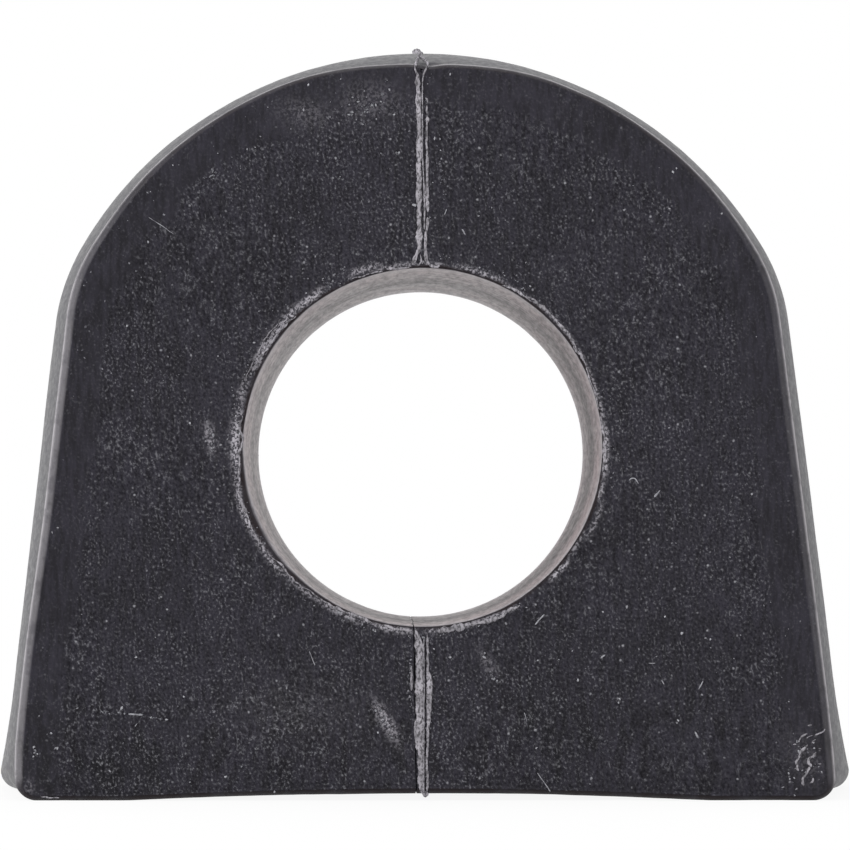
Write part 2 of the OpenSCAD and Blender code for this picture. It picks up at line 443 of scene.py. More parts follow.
def edge_rub_and_highlight(s, turn, line):
    """How rubbed the rounded edge is at a turn from face to wall, with its painted highlight, with a row
    for each station of its line: a bell curve near the wall that paints the bright line where the edge
    meets the wall, and a weaker painted highlight before it that is strongest on the left flank, towards
    the light. There is none in the pinch under the crown or along the base."""
    degrees = np.degrees(turn)
    ridge = np.exp(-((degrees - 72) / 15) ** 2)
    before = smoothstep(5, 30, degrees) * smoothstep(80, 60, degrees)
    left = smoothstep(4 * MM, -4 * MM, line[:, :1])
    flank = smoothstep(s.axis_height + 22 * MM, s.axis_height + 8 * MM, line[:, 1:])
    ridge = ridge * (0.8 - 0.14 * left)
    strength = 0.02 + 0.05 * flank + left * (0.02 + 0.15 * flank)
    pinch = np.exp(-((line[:, :1] / MM + 0.15) / 0.42) ** 4) * (line[:, 1:] > s.axis_height)
    return np.maximum(ridge, strength * before) * (1 - pinch) * above_base(line)


def side_surface(s, rays, side, columns, step, seed):
    """Half of the section's loop on one side: the bore's wall from mid-length, its worn edge, the
    end face, and the edge of the outline, whose profile is a flattened quarter circle. The face's
    first columns lie a step apart, and the rest crowd towards the edge. Returns points and
    numbers on them."""
    half = s.length / 2
    width, depth = (a[:, None] for a in bore_edge(s, rays.angle, seed))
    wall_y = (half - depth) * (np.arange(BORE_COLUMNS) / BORE_COLUMNS)
    edge_out = width * (1 - np.cos(BORE_EDGE_TURNS))
    edge_y = half - depth * (1 - np.sin(BORE_EDGE_TURNS))
    near, far = columns
    band = width + step * np.arange(near)
    start = width + step * near
    share = 1 - (1 - np.linspace(0, 1, far)) ** 1.4
    face_out = np.concatenate([band, start + (rays.reach[:, None] - start) * share], axis=1)
    face = rays.at(face_out)
    angle = rays.angle[:, None] if side == FRONT else -rays.angle[:, None]
    torn = torn_share(angle, face_out)
    if side == FRONT:
        torn = np.maximum(torn, hazed_share(face))
    ragged = 0.05 * MM * torn * (1 + 0.6 * waves(face, 0.6 * MM, seed + 7))
    face_y = half + face_relief(s, face, rays.reach[:, None] - face_out, seed + 2) + ragged
    turn = np.arange(1, EDGE_COLUMNS + 1) / EDGE_COLUMNS * math.pi / 2
    line, inward = end_edge(s)
    rim = line[:, None, :] + inward[:, None, :] * (1 - np.sin(turn) ** 1.45)[None, :, None]
    rim_y = np.broadcast_to(half - s.edge_depth * (1 - np.cos(turn) ** 1.45), rim.shape[:2])
    xz = np.concatenate([rays.at(np.zeros(wall_y.shape)), rays.at(edge_out), face, rim], axis=1)
    y = np.concatenate([wall_y, edge_y, face_y, rim_y], axis=1)
    points = np.stack([xz[..., 0], side * y, xz[..., 1]], axis=-1)

    numbers = {key: np.zeros(y.shape) for key in ("inward", "bore", "rubbed", "wall", "torn", "shaded")}
    worn = BORE_COLUMNS
    flat = worn + len(BORE_EDGE_TURNS)
    rounded = flat + face_out.shape[1]
    numbers["bore"][:, :worn + 1] = 1
    # Painted highlight on the bore's worn edge near the wall
    numbers["rubbed"][:, worn:flat] = BORE_EDGE_RUB_AND_HIGHLIGHT
    # Painted shade on the bore's worn edge towards the face
    numbers["shaded"][:, worn:flat] = BORE_EDGE_SHADED
    # Painted shadow in a thin line on the face just outside the bore's worn edge
    numbers["shaded"][:, flat:rounded] = np.exp(-((face_out - width) / (0.11 * MM)) ** 2)
    numbers["inward"][:, flat:rounded] = margin_depth(s, face[..., 0], face[..., 1]) / MM
    numbers["torn"][:, flat:rounded] = torn
    # Painted highlight along the rounded edge of each face, strongest where it meets the wall
    numbers["rubbed"][:, rounded:] = edge_rub_and_highlight(s, turn, line)
    numbers["wall"][:, rounded:] = smoothstep(math.radians(50), math.radians(80), turn) * above_base(line)
    # Painted shade on the rounded edge along the base, and on its face side over the crown
    crown = smoothstep(s.axis_height + 18 * MM, s.axis_height + 26 * MM, line[:, 1:])
    before = smoothstep(math.radians(62), math.radians(45), turn)
    numbers["shaded"][:, rounded:] = np.maximum(0.9 * (1 - above_base(line)), 0.5 * crown * before)
    return points, numbers


def wall_columns(s):
    """Values of y along the outer wall between the two rounded edges: crowded towards the ridge,
    with one close to each edge."""
    end = s.length / 2 - s.edge_depth
    share = np.arange(1, WALL_COLUMNS) / WALL_COLUMNS
    out = np.concatenate([end * share ** 1.5, [end - 0.25 * MM]])
    return np.concatenate([-out[::-1], [0.0], out])


def bushing_surface(s, seed):
    """The whole moulding as one grid: stations run round the bore from one wall of the slit to
    the other, and columns run round the section, from mid-length along the bore to the front,
    out over the front face, round its edge, back along the outer wall, in over the back face
    and along the bore to mid-length again."""
    rays = Rays(s)
    front, front_numbers = side_surface(s, rays, FRONT, FRONT_COLUMNS, 0.1 * MM, seed)
    back, back_numbers = side_surface(s, rays, BACK, BACK_COLUMNS, 0.2 * MM, seed + 10)
    wall_y = wall_columns(s)
    x, z = outline(s, wall_y, tapered(s, wall_y), np.zeros(len(wall_y)))
    wall = np.stack([x, np.broadcast_to(wall_y, x.shape), z], axis=-1)
    points = np.concatenate([front, wall, back[:, :0:-1]], axis=1)
    numbers = {
        key: np.concatenate(
            [front_numbers[key], np.full(x.shape, float(key == "wall")), back_numbers[key][:, :0:-1]], axis=1
        ) for key in front_numbers
    }
    return points, numbers


def skewed(s, points):
    """Points near the slit moved as the knife drifted: to the left in proportion to the distance
    from the front face, to the right in proportion to the depth below the bore, and to either side
    by a wave of 30 mm along the bar. The share falls with distance from the slit as a bell curve."""
    x, y, z = points[..., 0], points[..., 1], points[..., 2]
    from_slit = np.maximum(np.abs(x + s.split_offset) - s.split_gap / 2, 0)
    share = np.exp(-(from_slit / (2 * MM)) ** 2) * smoothstep(s.axis_height, s.axis_height - 5 * MM, z)
    below = s.axis_height - s.bore_radius - z
    behind = y + s.length / 2
    drift = math.tan(s.split_lean) * below - math.tan(s.split_skew) * behind
    drift = drift - s.split_waver * np.sin(2 * np.pi * behind / (30 * MM))
    return np.stack([x + drift * share, y, z], axis=-1)


def build_body(s, f, material):
    """The moulding: the grid's rings run round the section, and a polygon closes each wall of
    the slit. Every point moves out a little by slow noise, so that no edge is quite straight."""
    points, numbers = bushing_surface(s, f.seed)
    rows, columns = points.shape[:2]
    across = np.gradient(points, axis=0)
    around = np.roll(points, -1, axis=1) - np.roll(points, 1, axis=1)
    normal = unit(np.cross(around, across))
    lump = (0.012 * waves(points, 9 * MM, f.seed + 21) + 0.004 * waves(points, 1.8 * MM, f.seed + 22)) * MM
    row = np.arange(rows)
    loose = (1 - numbers["bore"]) * smoothstep(0, 4, np.minimum(row, rows - 1 - row))[:, None]
    points = skewed(s, points + normal * (lump * loose)[..., None])
    return new_object("rubber_bushing", points, tube_faces(rows, columns), material, 40, numbers)


# Flash, crumbs and lint

# Points round each ring of a bead
BEAD_SIDES = 12

# Beads on the faces: height in millimetres, roughness, wander in millimetres, and the power of
# the ring's cosine and sine
STRIP = (0.11, 0.1, 0.02, 0.6)
LINE = (0.16, 0.1, 0.01, 1.0)
RIDGE = (0.12, 0.22, 0.05, 0.8)
RIPPLE = (0.08, 0.16, 0.05, 1.0)
FIBRE = (0.05, 0.12, 0.01, 1.0)

# What is added to the seed for the random draws of each kind
CROWN_DRAWS = 31
SEAM_DRAWS = 41
RIM_DRAWS = 61
RIPPLE_DRAWS = 81
CRUMB_DRAWS = {FRONT: 91, BACK: 95}
LINT_DRAWS = 101


def resample(knots, step):
    """Rows at even distances along a line of knots, whose first two columns are places. Every
    column follows straight lines between the knots, smoothed over three rows."""
    knots = np.asarray(knots, float)
    along = np.concatenate([[0], np.cumsum(np.linalg.norm(np.diff(knots[:, :2], axis=0), axis=1))])
    rows = max(6, int(along[-1] / step))
    where = np.linspace(0, along[-1], rows)
    made = np.stack([np.interp(where, along, column) for column in knots.T], axis=-1)
    made[1:-1] = (made[:-2] + made[1:-1] + made[2:]) / 3
    return made


def bead(centre, across, outward, half_width, height, rough, seed, square=1.0):
    """Rings of a torn bead carried along a line: an ellipse, or a flatter strip where the powers of
    its cosine and sine are below 1. Fine noise swells and pinches it, and each end runs to a point."""
    along = np.concatenate([[0], np.cumsum(np.linalg.norm(np.diff(centre, axis=0), axis=1))])
    ends = np.clip(np.minimum(along, along[-1] - along) / (2 * np.mean(half_width)), 0.03, 1) ** 0.5
    turn = np.arange(BEAD_SIDES) / BEAD_SIDES * 2 * np.pi
    wide = np.sign(np.cos(turn)) * np.abs(np.cos(turn)) ** square
    tall = np.sign(np.sin(turn)) * np.abs(np.sin(turn)) ** square
    wide = (half_width * ends)[:, None, None] * wide[None, :, None] * across[:, None, :]
    tall = (height * ends)[:, None, None] * tall[None, :, None] * outward[:, None, :]
    points = centre[:, None, :] + wide + tall
    swell = 1 + rough * (waves(points, 0.6 * MM, seed, 24) + 0.5 * waves(points, 0.25 * MM, seed + 1, 24))
    return centre[:, None, :] + (wide + tall) * np.clip(swell, 0.3, 1.6)[..., None]


def build_beads(name, beads, material):
    """One object of several closed beads, each an array of rings."""
    points, faces, first = [], [], 0
    for rings in beads:
        faces += tube_faces(rings.shape[0], rings.shape[1], first)
        first += rings.shape[0] * rings.shape[1]
        points.append(rings.reshape(-1, 3))
    return new_object(name, np.concatenate(points), faces, material)


def face_bead(s, side, knots, profile, seed):
    """Bead on an end face along knots of x, z and half width in millimetres. Its line wanders a
    little, and its width and height come and go."""
    height, rough, wander, square = profile
    rows = resample(np.array(knots) * MM, 0.07 * MM)
    sway = waves(rows[:, :2], 2.5 * MM, seed) + 0.5 * waves(rows[:, :2], 0.9 * MM, seed + 3)
    heading = unit(np.gradient(rows[:, :2], axis=0))
    normal = np.stack([-heading[:, 1], heading[:, 0]], axis=-1)
    xz = rows[:, :2] + normal * (wander * MM * sway)[:, None]
    centre = np.stack([xz[:, 0], np.full(len(xz), side * s.length / 2), xz[:, 1]], axis=-1)
    across = np.stack([normal[:, 0], np.zeros(len(xz)), normal[:, 1]], axis=-1)
    outward = np.zeros(across.shape)
    outward[:, 1] = side
    fuller = np.clip(1 + rough * waves(rows[:, :2], 1.4 * MM, seed + 5), 0.5, 1.4)
    half_width = rows[:, 2] * fuller
    return bead(centre, across * -side, outward, half_width, height * MM * fuller, rough, seed, square)


def face_beads(s, side, lines, profile, seed):
    """One bead on an end face for each line of knots, each with a seed of its own."""
    return [face_bead(s, side, knots, profile, seed + i) for i, knots in enumerate(lines)]


def rim_knots(s, knots):
    """Knots of x, z and half width in millimetres, from knots of the angle round the bore in
    degrees, the distance from its rim and the half width."""
    angle, offset, width = np.array(knots, float).T
    radius = s.bore_radius / MM + offset
    turn = np.radians(angle)
    return np.stack([radius * np.sin(turn), s.axis_height / MM - radius * np.cos(turn), width], axis=-1)


# Flash of the front face, as knots of x, z and half width in millimetres: strips above the bore,
# and thin lines beside them
TOP_STRIPS = [
    [(-0.67, 61.75, 0.05), (-0.6, 61.3, 0.08), (-0.44, 60.85, 0.1), (-0.42, 60.3, 0.19), (-0.36, 59.4, 0.2),
     (-0.32, 57, 0.22), (-0.28, 53, 0.21), (-0.3, 50.6, 0.28), (-0.3, 49.4, 0.2), (-0.3, 48.2, 0.17),
     (-0.27, 47.3, 0.26), (-0.3, 46.4, 0.2), (-0.42, 45.9, 0.15), (-0.65, 45.35, 0.24), (-0.92, 44.85, 0.12)],
    [(0.23, 58.95, 0.05), (0.4, 58.75, 0.09), (0.39, 58.5, 0.03)],
    [(0.37, 58.3, 0.04), (0.36, 57.9, 0.11), (0.37, 57.55, 0.04)],
    [(0.38, 57.45, 0.05), (0.44, 57.1, 0.2), (0.38, 56.8, 0.09), (0.34, 55, 0.08), (0.4, 53.4, 0.13),
     (0.36, 52, 0.1), (0.34, 50.8, 0.22), (0.36, 49.9, 0.16), (0.4, 49.3, 0.08)],
    [(0.38, 48.9, 0.06), (0.4, 48.3, 0.15), (0.3, 47.7, 0.1), (0.26, 46.8, 0.13), (0.24, 46.3, 0.08),
     (0.3, 45.9, 0.16), (0.34, 45.3, 0.12), (0.5, 44.95, 0.13), (0.8, 44.76, 0.13), (1.15, 44.7, 0.12),
     (1.55, 44.86, 0.08)],
]
TOP_LINES = [
    [(0.37, 61.6, 0.07), (0.24, 61.25, 0.09), (0.08, 60.9, 0.06), (-0.02, 60.3, 0.06), (-0.02, 54, 0.05),
     (0.08, 52, 0.06), (0.15, 50, 0.07), (0.15, 47.8, 0.05)],
    [(-0.22, 45.8, 0.05), (-0.1, 45.2, 0.08), (-0.35, 44.8, 0.05)],
    [(-0.05, 44.95, 0.04), (0.05, 45.25, 0.06), (0.12, 45.0, 0.04)],
]

# Strips and lines between the bore and the base, beside the knife cut
BOTTOM_STRIPS = [
    [(-0.66, 14.5, 0.05), (-0.4, 13.7, 0.28), (-0.26, 12.8, 0.36), (-0.26, 6.0, 0.34), (-0.2, 4.5, 0.32),
     (-0.14, 2.6, 0.26), (-0.1, 0.65, 0.22)],
    [(0.4, 13.9, 0.07), (0.42, 12.4, 0.1), (0.4, 10.9, 0.1), (0.56, 10.3, 0.25), (0.56, 8.5, 0.24),
     (0.5, 7.9, 0.2), (0.47, 6.2, 0.14), (0.4, 5.2, 0.11), (0.36, 0.8, 0.09)],
]
BOTTOM_LINES = [
    [(0.1, 13.6, 0.05), (0.1, 7, 0.06), (0.09, 0.7, 0.06)],
    [(-0.95, 11.2, 0.05), (-0.92, 10.4, 0.13), (-0.95, 9.2, 0.08)],
]

# Flash of the back face, in the same way
BACK_STRIPS = [
    [(0.2, 61.4, 0.08), (0.24, 56, 0.16), (0.15, 50, 0.12), (0.22, 45, 0.2)],
    [(0.2, 14.4, 0.1), (0.16, 9, 0.22), (0.22, 4, 0.14), (0.2, 0.8, 0.18)],
]

# Ridges of flash round the bore's rim: angle in degrees, distance from the rim, half width
RIM_RIDGES = [
    [(4.5, 0.35, 0.08), (8, 0.45, 0.24), (12, 0.4, 0.2), (16, 0.42, 0.13), (20, 0.5, 0.12),
     (24.6, 0.56, 0.18), (29, 0.5, 0.14), (31.5, 0.65, 0.07)],
    [(326, 0.25, 0.05), (331, 0.3, 0.11), (335, 0.22, 0.15), (339, 0.2, 0.09), (344, 0.2, 0.13)],
    [(347, 0.3, 0.06), (352, 0.3, 0.15), (356.5, 0.32, 0.17)],
    [(260, 0.34, 0.04), (265, 0.3, 0.09), (269, 0.24, 0.08), (273, 0.3, 0.1), (277, 0.45, 0.11),
     (280, 0.65, 0.06)],
    [(279, 0.6, 0.05), (284, 0.85, 0.08), (287, 1.0, 0.14), (290, 0.8, 0.1), (296, 0.82, 0.06),
     (301, 0.8, 0.07)],
    [(306, 0.6, 0.03), (310, 0.5, 0.06), (315, 0.42, 0.06), (321, 0.36, 0.04), (326, 0.2, 0.03)],
    [(214, 0.5, 0.05), (217, 0.6, 0.12), (220, 0.62, 0.05)],
    [(224, 0.4, 0.03), (230, 0.44, 0.06), (236, 0.5, 0.09), (241, 0.52, 0.12), (245, 0.5, 0.05)],
    [(226, 0.68, 0.03), (233, 0.74, 0.05), (240, 0.7, 0.05), (246, 0.62, 0.03)],
    [(228, 0.98, 0.03), (235, 1.0, 0.05), (243, 0.92, 0.04), (249, 0.8, 0.03)],
    [(82, 0.2, 0.05), (86, 0.3, 0.14), (91, 0.27, 0.14), (96, 0.22, 0.1), (100, 0.2, 0.05)],
    [(78, 0.35, 0.05), (76, 0.36, 0.12), (73.5, 0.3, 0.06)],
    [(45.5, 0.5, 0.04), (46.5, 0.44, 0.1), (49, 0.38, 0.08), (51, 0.32, 0.04)],
    [(102, 0.18, 0.04), (107, 0.2, 0.06), (112, 0.2, 0.05), (118, 0.26, 0.07), (123, 0.32, 0.11),
     (128, 0.38, 0.12), (134, 0.42, 0.12), (139.5, 0.47, 0.13), (142, 0.36, 0.1), (144, 0.29, 0.06)],
    [(143.5, 0.28, 0.05), (147, 0.33, 0.1), (150.5, 0.3, 0.09), (154, 0.2, 0.04)],
    [(184, 0.15, 0.05), (190, 0.2, 0.1), (197, 0.2, 0.06), (203, 0.3, 0.04)],
]

# Torn ripples in the lower right corner of the front face, and one tear in the lower left one
RIPPLES = [
    [(32.29, 4.64, 0.08), (31.9, 4.3, 0.11), (31.67, 3.89, 0.11), (31.52, 3.55, 0.1), (31.31, 3.26, 0.1),
     (31.43, 2.95, 0.11), (31.34, 2.75, 0.1), (31.49, 2.47, 0.08)],
    [(31.34, 2.85, 0.09), (31.07, 2.65, 0.08)],
    [(32.94, 4.08, 0.09), (32.76, 3.85, 0.11), (32.57, 3.55, 0.11), (32.44, 3.33, 0.1), (32.38, 3.14, 0.1),
     (32.57, 2.95, 0.11), (32.42, 2.69, 0.11), (32.16, 2.47, 0.11), (31.9, 1.98, 0.1), (31.79, 1.8, 0.1),
     (31.75, 1.5, 0.1), (31.82, 1.16, 0.08)],
    [(32.62, 1.9, 0.09), (32.68, 1.8, 0.1), (32.53, 1.6, 0.1), (32.38, 1.55, 0.08)],
    [(33.17, 4.02, 0.07), (33.32, 4.02, 0.07)],
    [(33.14, 4.34, 0.05), (33.38, 4.3, 0.05)],
    [(32.87, 3.08, 0.07), (32.94, 3.06, 0.07)],
    [(33.14, 3.04, 0.06), (33.43, 3.04, 0.06)],
    [(30.98, 4.73, 0.06), (31.31, 4.73, 0.06)],
    [(33.7, 6.0, 0.05), (33.4, 5.7, 0.07), (33.1, 5.52, 0.1), (32.85, 5.45, 0.05)],
    [(32.7, 5.46, 0.04), (32.4, 5.38, 0.06), (32.1, 5.25, 0.07)],
    [(32.25, 5.62, 0.06), (31.95, 5.5, 0.07), (31.7, 5.35, 0.07), (31.6, 5.1, 0.08), (31.45, 4.9, 0.06)],
    [(32.05, 6.2, 0.05), (32.35, 6.28, 0.1), (32.6, 6.36, 0.06)],
    [(32.95, 5.1, 0.06), (32.75, 4.9, 0.08), (32.66, 4.74, 0.07)],
    [(-31.95, 0.33, 0.05), (-31.6, 0.33, 0.07), (-31.3, 0.28, 0.06), (-30.4, 0.2, 0.03)],
]

# Lint, fibres and scratches on the front face
LINT = [
    [(17.3, 26.8, 0.05), (17.5, 27.0, 0.06), (17.8, 27.0, 0.06), (18.1, 26.5, 0.06)],
    [(19.4, 25.4, 0.09), (19.9, 26.0, 0.05)],
    [(9.4, 14.7, 0.08), (10.2, 15.6, 0.04)],
    [(8.5, 7.4, 0.03), (8.95, 5.9, 0.04)],
    [(9.2, 2.9, 0.03), (9.9, 1.9, 0.04), (10.7, 0.75, 0.05)],
    [(14.9, 11.9, 0.08), (15.3, 12.2, 0.06)],
    [(23.1, 9.3, 0.05), (23.5, 10.0, 0.05)],
    [(23.3, 8.9, 0.12), (23.5, 8.8, 0.12)],
    [(18.9, 11.5, 0.03), (19.5, 11.5, 0.04)],
    [(20.0, 10.1, 0.04), (20.2, 9.7, 0.06)],
    [(22.8, 5.8, 0.05), (23.1, 5.2, 0.08)],
    [(-23.0, 48.9, 0.02), (-21.9, 48.2, 0.03), (-20.7, 47.3, 0.02)],
    [(-16.3, 46.3, 0.07), (-15.7, 46.2, 0.05)],
    [(-11.3, 10.1, 0.04), (-11.4, 9.3, 0.05)],
    [(-9.5, 12.5, 0.03), (-9.0, 11.3, 0.04)],
    [(-24.65, 7.25, 0.05), (-23.4, 7.2, 0.08)],
    [(-23.9, 6.5, 0.03), (-24.1, 6.2, 0.05)],
    [(5.0, 12.1, 0.12), (5.3, 11.9, 0.1)],
    [(1.8, 49.1, 0.05), (2.0, 49.6, 0.04)],
    [(3.3, 47.9, 0.07), (3.6, 47.4, 0.05)],
]

# Trails of crumbs: two ends, spread to either side, and how many
TRAILS = [
    (-29.2, 7.75, -27.6, 7.65, 0.1, 22), (-27.0, 7.45, -26.2, 7.3, 0.18, 14),
    (-25.6, 7.35, -24.8, 7.3, 0.12, 12), (-22.9, 6.95, -21.8, 6.85, 0.08, 15),
    (0.9, 55.5, 1.8, 50.5, 0.25, 14), (1.3, 53.7, 1.8, 52.0, 0.08, 6),
]

# Scuffed places on the front face: middle, half sizes, lean, and how many crumbs
SCUFFS = [
    (-3.2, 6.6, 0.45, 1.3, 0.6, 70), (-17.8, 30.4, 0.35, 1.2, 0.2, 26), (-31.6, 12.0, 0.25, 1.0, 0.0, 16),
    (-17.6, 52.6, 0.3, 0.7, 0.0, 14), (-5.0, 58.0, 2.2, 1.8, 0.0, 44), (-32.3, 4.0, 0.3, 0.6, 0.3, 7),
    (5.2, 12.3, 0.2, 0.2, 0.5, 5), (5.85, 10.4, 0.25, 0.45, 0.5, 16), (32.0, 3.4, 1.3, 1.8, 0.5, 50),
    (-10.2, 7.8, 6.0, 3.0, 0.0, 20), (-3.4, 59.2, 0.2, 0.25, 0.4, 9), (-4.2, 58.3, 0.25, 0.15, 0.4, 8),
    (-6.1, 57.6, 0.25, 0.2, 0.0, 8), (-4.9, 57.7, 0.2, 0.15, 0.0, 8), (-1.0, 9.5, 0.25, 3.0, 0.0, 40),
]

# Single specks on the front face: place and half size
SPECKS = [
    (-21.7, 49.1, 0.1), (-20.8, 48.3, 0.08), (-17.7, 50.1, 0.09), (-15.4, 48.6, 0.08), (-10.0, 57.9, 0.1),
    (-9.6, 60.0, 0.09), (-5.9, 57.7, 0.1), (-0.7, 49.9, 0.16), (-19.5, 31.6, 0.09), (-25.2, 7.75, 0.12),
    (-24.0, 12.0, 0.09), (-28.1, 10.4, 0.1), (-20.0, 8.7, 0.1), (-31.1, 5.65, 0.1), (-30.7, 4.4, 0.11),
    (-26.2, 2.5, 0.1), (-29.65, 13.6, 0.08), (-32.1, 7.1, 0.09), (-21.4, 16.0, 0.1), (-21.45, 6.8, 0.11),
    (17.1, 16.2, 0.11), (15.1, 15.8, 0.09), (20.3, 15.4, 0.09), (13.0, 10.1, 0.11), (16.5, 8.5, 0.1),
    (16.4, 8.2, 0.08), (21.7, 14.0, 0.12), (24.1, 13.5, 0.09), (23.7, 13.6, 0.07), (21.4, 6.7, 0.09),
    (2.3, 12.0, 0.11), (7.5, 4.8, 0.11), (9.5, 4.4, 0.1), (4.6, 7.8, 0.09), (-3.75, 5.7, 0.1),
    (1.0, 55.5, 0.1), (1.45, 55.45, 0.09), (1.5, 54.5, 0.09), (1.55, 53.8, 0.07), (6.5, 59.0, 0.11),
    (2.3, 60.9, 0.09), (-2.8, 59.6, 0.09), (-2.4, 57.5, 0.1), (-2.0, 54.3, 0.09), (21.0, 52.7, 0.11),
    (21.3, 53.0, 0.08), (25.1, 49.2, 0.09), (-16.5, 2.0, 0.1), (-12.4, 0.75, 0.09), (0.95, 12.7, 0.08),
    (30.54, 4.35, 0.08), (30.72, 4.0, 0.08), (30.72, 2.82, 0.08), (30.64, 2.28, 0.1), (31.11, 1.91, 0.09),
    (30.75, 1.8, 0.07), (30.18, 1.12, 0.08), (31.29, 0.97, 0.08), (31.15, 0.43, 0.07), (31.5, 4.94, 0.08),
    (32.74, 4.84, 0.08), (32.79, 4.38, 0.07), (33.17, 2.84, 0.07), (33.41, 2.42, 0.07), (-32.54, 4.5, 0.09),
    (-32.41, 4.21, 0.08), (-32.25, 3.91, 0.08), (-32.58, 3.7, 0.08), (-30.57, 4.38, 0.09),
    (-30.49, 1.65, 0.06),
]

# Path of the fin over the crown: y as a share of half the length, and x in millimetres
FIN_PATH = [(-1, -0.64), (-0.79, -0.43), (-0.45, -0.22), (-0.2, -0.02), (-0.04, 0.11), (1, 0.12)]

# Rings of the flash over the crown and along the base, and of the short fin at the front
SEAM_ROWS = 640
SPUR_ROWS = 126

# Crumbs on each end face: round the bore's rim, beside the seam, and scattered all over
CRUMB_COUNTS = {FRONT: (380, 130, 420), BACK: (300, 110, 400)}

# Paleness of the lint, from 0 to 1
LINT_PALENESS = 0.75


def crown_line(s, y):
    """Height of the crown's top at y, with its taper, its flat and the rounded edges."""
    past = np.maximum(np.abs(y) - (s.length / 2 - s.edge_depth), 0) / s.edge_depth
    edge = s.edge_crown * (1 - np.sqrt(np.maximum(1 - past ** 2, 0)))
    inside = tapered(s, np.minimum(np.abs(y), s.length / 2 - s.edge_depth)) + edge
    return s.axis_height + s.crown_radius - inside - s.crown_flat * (y / (s.length / 2)) ** 2


def long_bead(y, x, z, up, half_width, height, rough, seed):
    """Bead that runs from front to back over the crown or along the base."""
    centre = np.stack([x, y, z], axis=-1)
    across = np.zeros(centre.shape)
    across[:, 0] = up
    outward = np.zeros(centre.shape)
    outward[:, 2] = up
    return bead(centre, -across, outward, half_width, height, rough, seed)


def seam_along(s, seed):
    """Flash over the crown: a thin fin that drifts to the seam from the left of the pinch, a short
    one from its right, and a nub at mid-length. Then the flash along the hollow of the base."""
    half = s.length / 2
    y = np.linspace(-1, 1, SEAM_ROWS) * (half - 0.02 * MM)
    line = np.stack([y, np.zeros(len(y))], axis=-1)
    fuller = np.clip(1 + 0.25 * waves(line, 2.5 * MM, seed), 0.5, 1.4)
    drift = 0.04 * MM * waves(line, 6 * MM, seed + 1)
    fin_x = np.interp(y / half, *np.transpose(FIN_PATH)) * MM
    fin_height = (0.2 - 0.13 * np.exp(-(y / (4 * MM)) ** 2)) * MM * fuller
    fin = long_bead(y, fin_x + drift, crown_line(s, y), 1, 0.09 * MM * fuller, fin_height, 0.15, seed + 2)
    short = y[:SPUR_ROWS]
    wide = fuller[:SPUR_ROWS]
    short_x = np.interp(short, [-half, short[-1]], [0.44 * MM, -0.15 * MM])
    spur = long_bead(
        short, short_x, crown_line(s, short), 1, 0.08 * MM * wide, 0.19 * MM * wide, 0.15, seed + 4
    )
    middle = np.linspace(-2.2, 1.6, 60) * MM
    swell = np.exp(-(middle / (1.1 * MM)) ** 2)
    nub_x = np.full(len(middle), -0.4 * MM)
    wide = (0.12 + 0.32 * swell) * MM
    high = (0.13 + 0.35 * swell) * MM
    nub = long_bead(middle, nub_x, crown_line(s, middle), 1, wide, high, 0.12, seed + 5)
    tip = np.exp(-((y + half) / (0.6 * MM)) ** 2)
    base_x = s.seam_offset + drift
    wide = (0.12 + 0.2 * tip) * MM * fuller
    high = (0.22 + 0.12 * tip) * MM * np.minimum(fuller, 1.2)
    base = long_bead(y, base_x, base_height(s, base_x), -1, wide, high, 0.15, seed + 6)
    return [fin, spur, nub], [base]


def ball(rows=4, columns=6):
    """Points and faces of a small unit ball: rings of latitude between two poles."""
    tilt = np.pi * (np.arange(rows) + 1) / (rows + 1)
    turn = np.arange(columns) / columns * 2 * np.pi
    rings = np.stack([
        np.sin(tilt)[:, None] * np.cos(turn), np.sin(tilt)[:, None] * np.sin(turn),
        np.broadcast_to(np.cos(tilt)[:, None], (rows, columns)),
    ], axis=-1).reshape(-1, 3)
    points = np.concatenate([rings, [[0, 0, 1], [0, 0, -1]]])
    ring = np.arange(columns)
    after = (ring + 1) % columns
    row = np.arange(rows - 1)[:, None] * columns
    quads = np.stack([row + ring, row + columns + ring, row + columns + after, row + after], axis=-1)
    top = np.stack([ring, after, np.full(columns, rows * columns)], axis=-1)
    last = (rows - 1) * columns
    bottom = np.stack([ring + last, np.full(columns, rows * columns + 1), after + last], axis=-1)
    return points, quads.reshape(-1, 4), np.concatenate([top, bottom])


def build_crumbs(name, places, sizes, pale, seed, material):
    """One object of many crumbs: the same small ball at each place, stretched to its three sizes,
    turned about the bar's direction and made uneven by a random share at each point. Each has its
    own paleness."""
    rng = np.random.default_rng(seed)
    points, quads, triangles = ball()
    count = len(places)
    turn = rng.uniform(0, np.pi, count)
    shape = points[None] * sizes[:, None, :] * rng.uniform(0.7, 1.3, (count, len(points), 1))
    x = shape[..., 0] * np.cos(turn)[:, None] - shape[..., 2] * np.sin(turn)[:, None]
    z = shape[..., 0] * np.sin(turn)[:, None] + shape[..., 2] * np.cos(turn)[:, None]
    cloud = np.stack([x, shape[..., 1], z], axis=-1) + places[:, None, :]
    first = np.arange(count)[:, None, None] * len(points)
    faces = (quads + first).reshape(-1, 4).tolist() + (triangles + first).reshape(-1, 3).tolist()
    return new_object(name, cloud, faces, material, attributes={"pale": np.repeat(pale, len(points))})


def inside_face(s, x, z):
    """True where a point of an end face lies on rubber, clear of the bore, the rim and the slit."""
    clear = np.hypot(x, z - s.axis_height) > s.bore_radius + 0.25 * MM
    return clear & (margin_depth(s, x, z) > 0.95 * MM) & (z > 0.9 * MM) & (np.abs(x + 0.65 * MM) > 0.25 * MM)


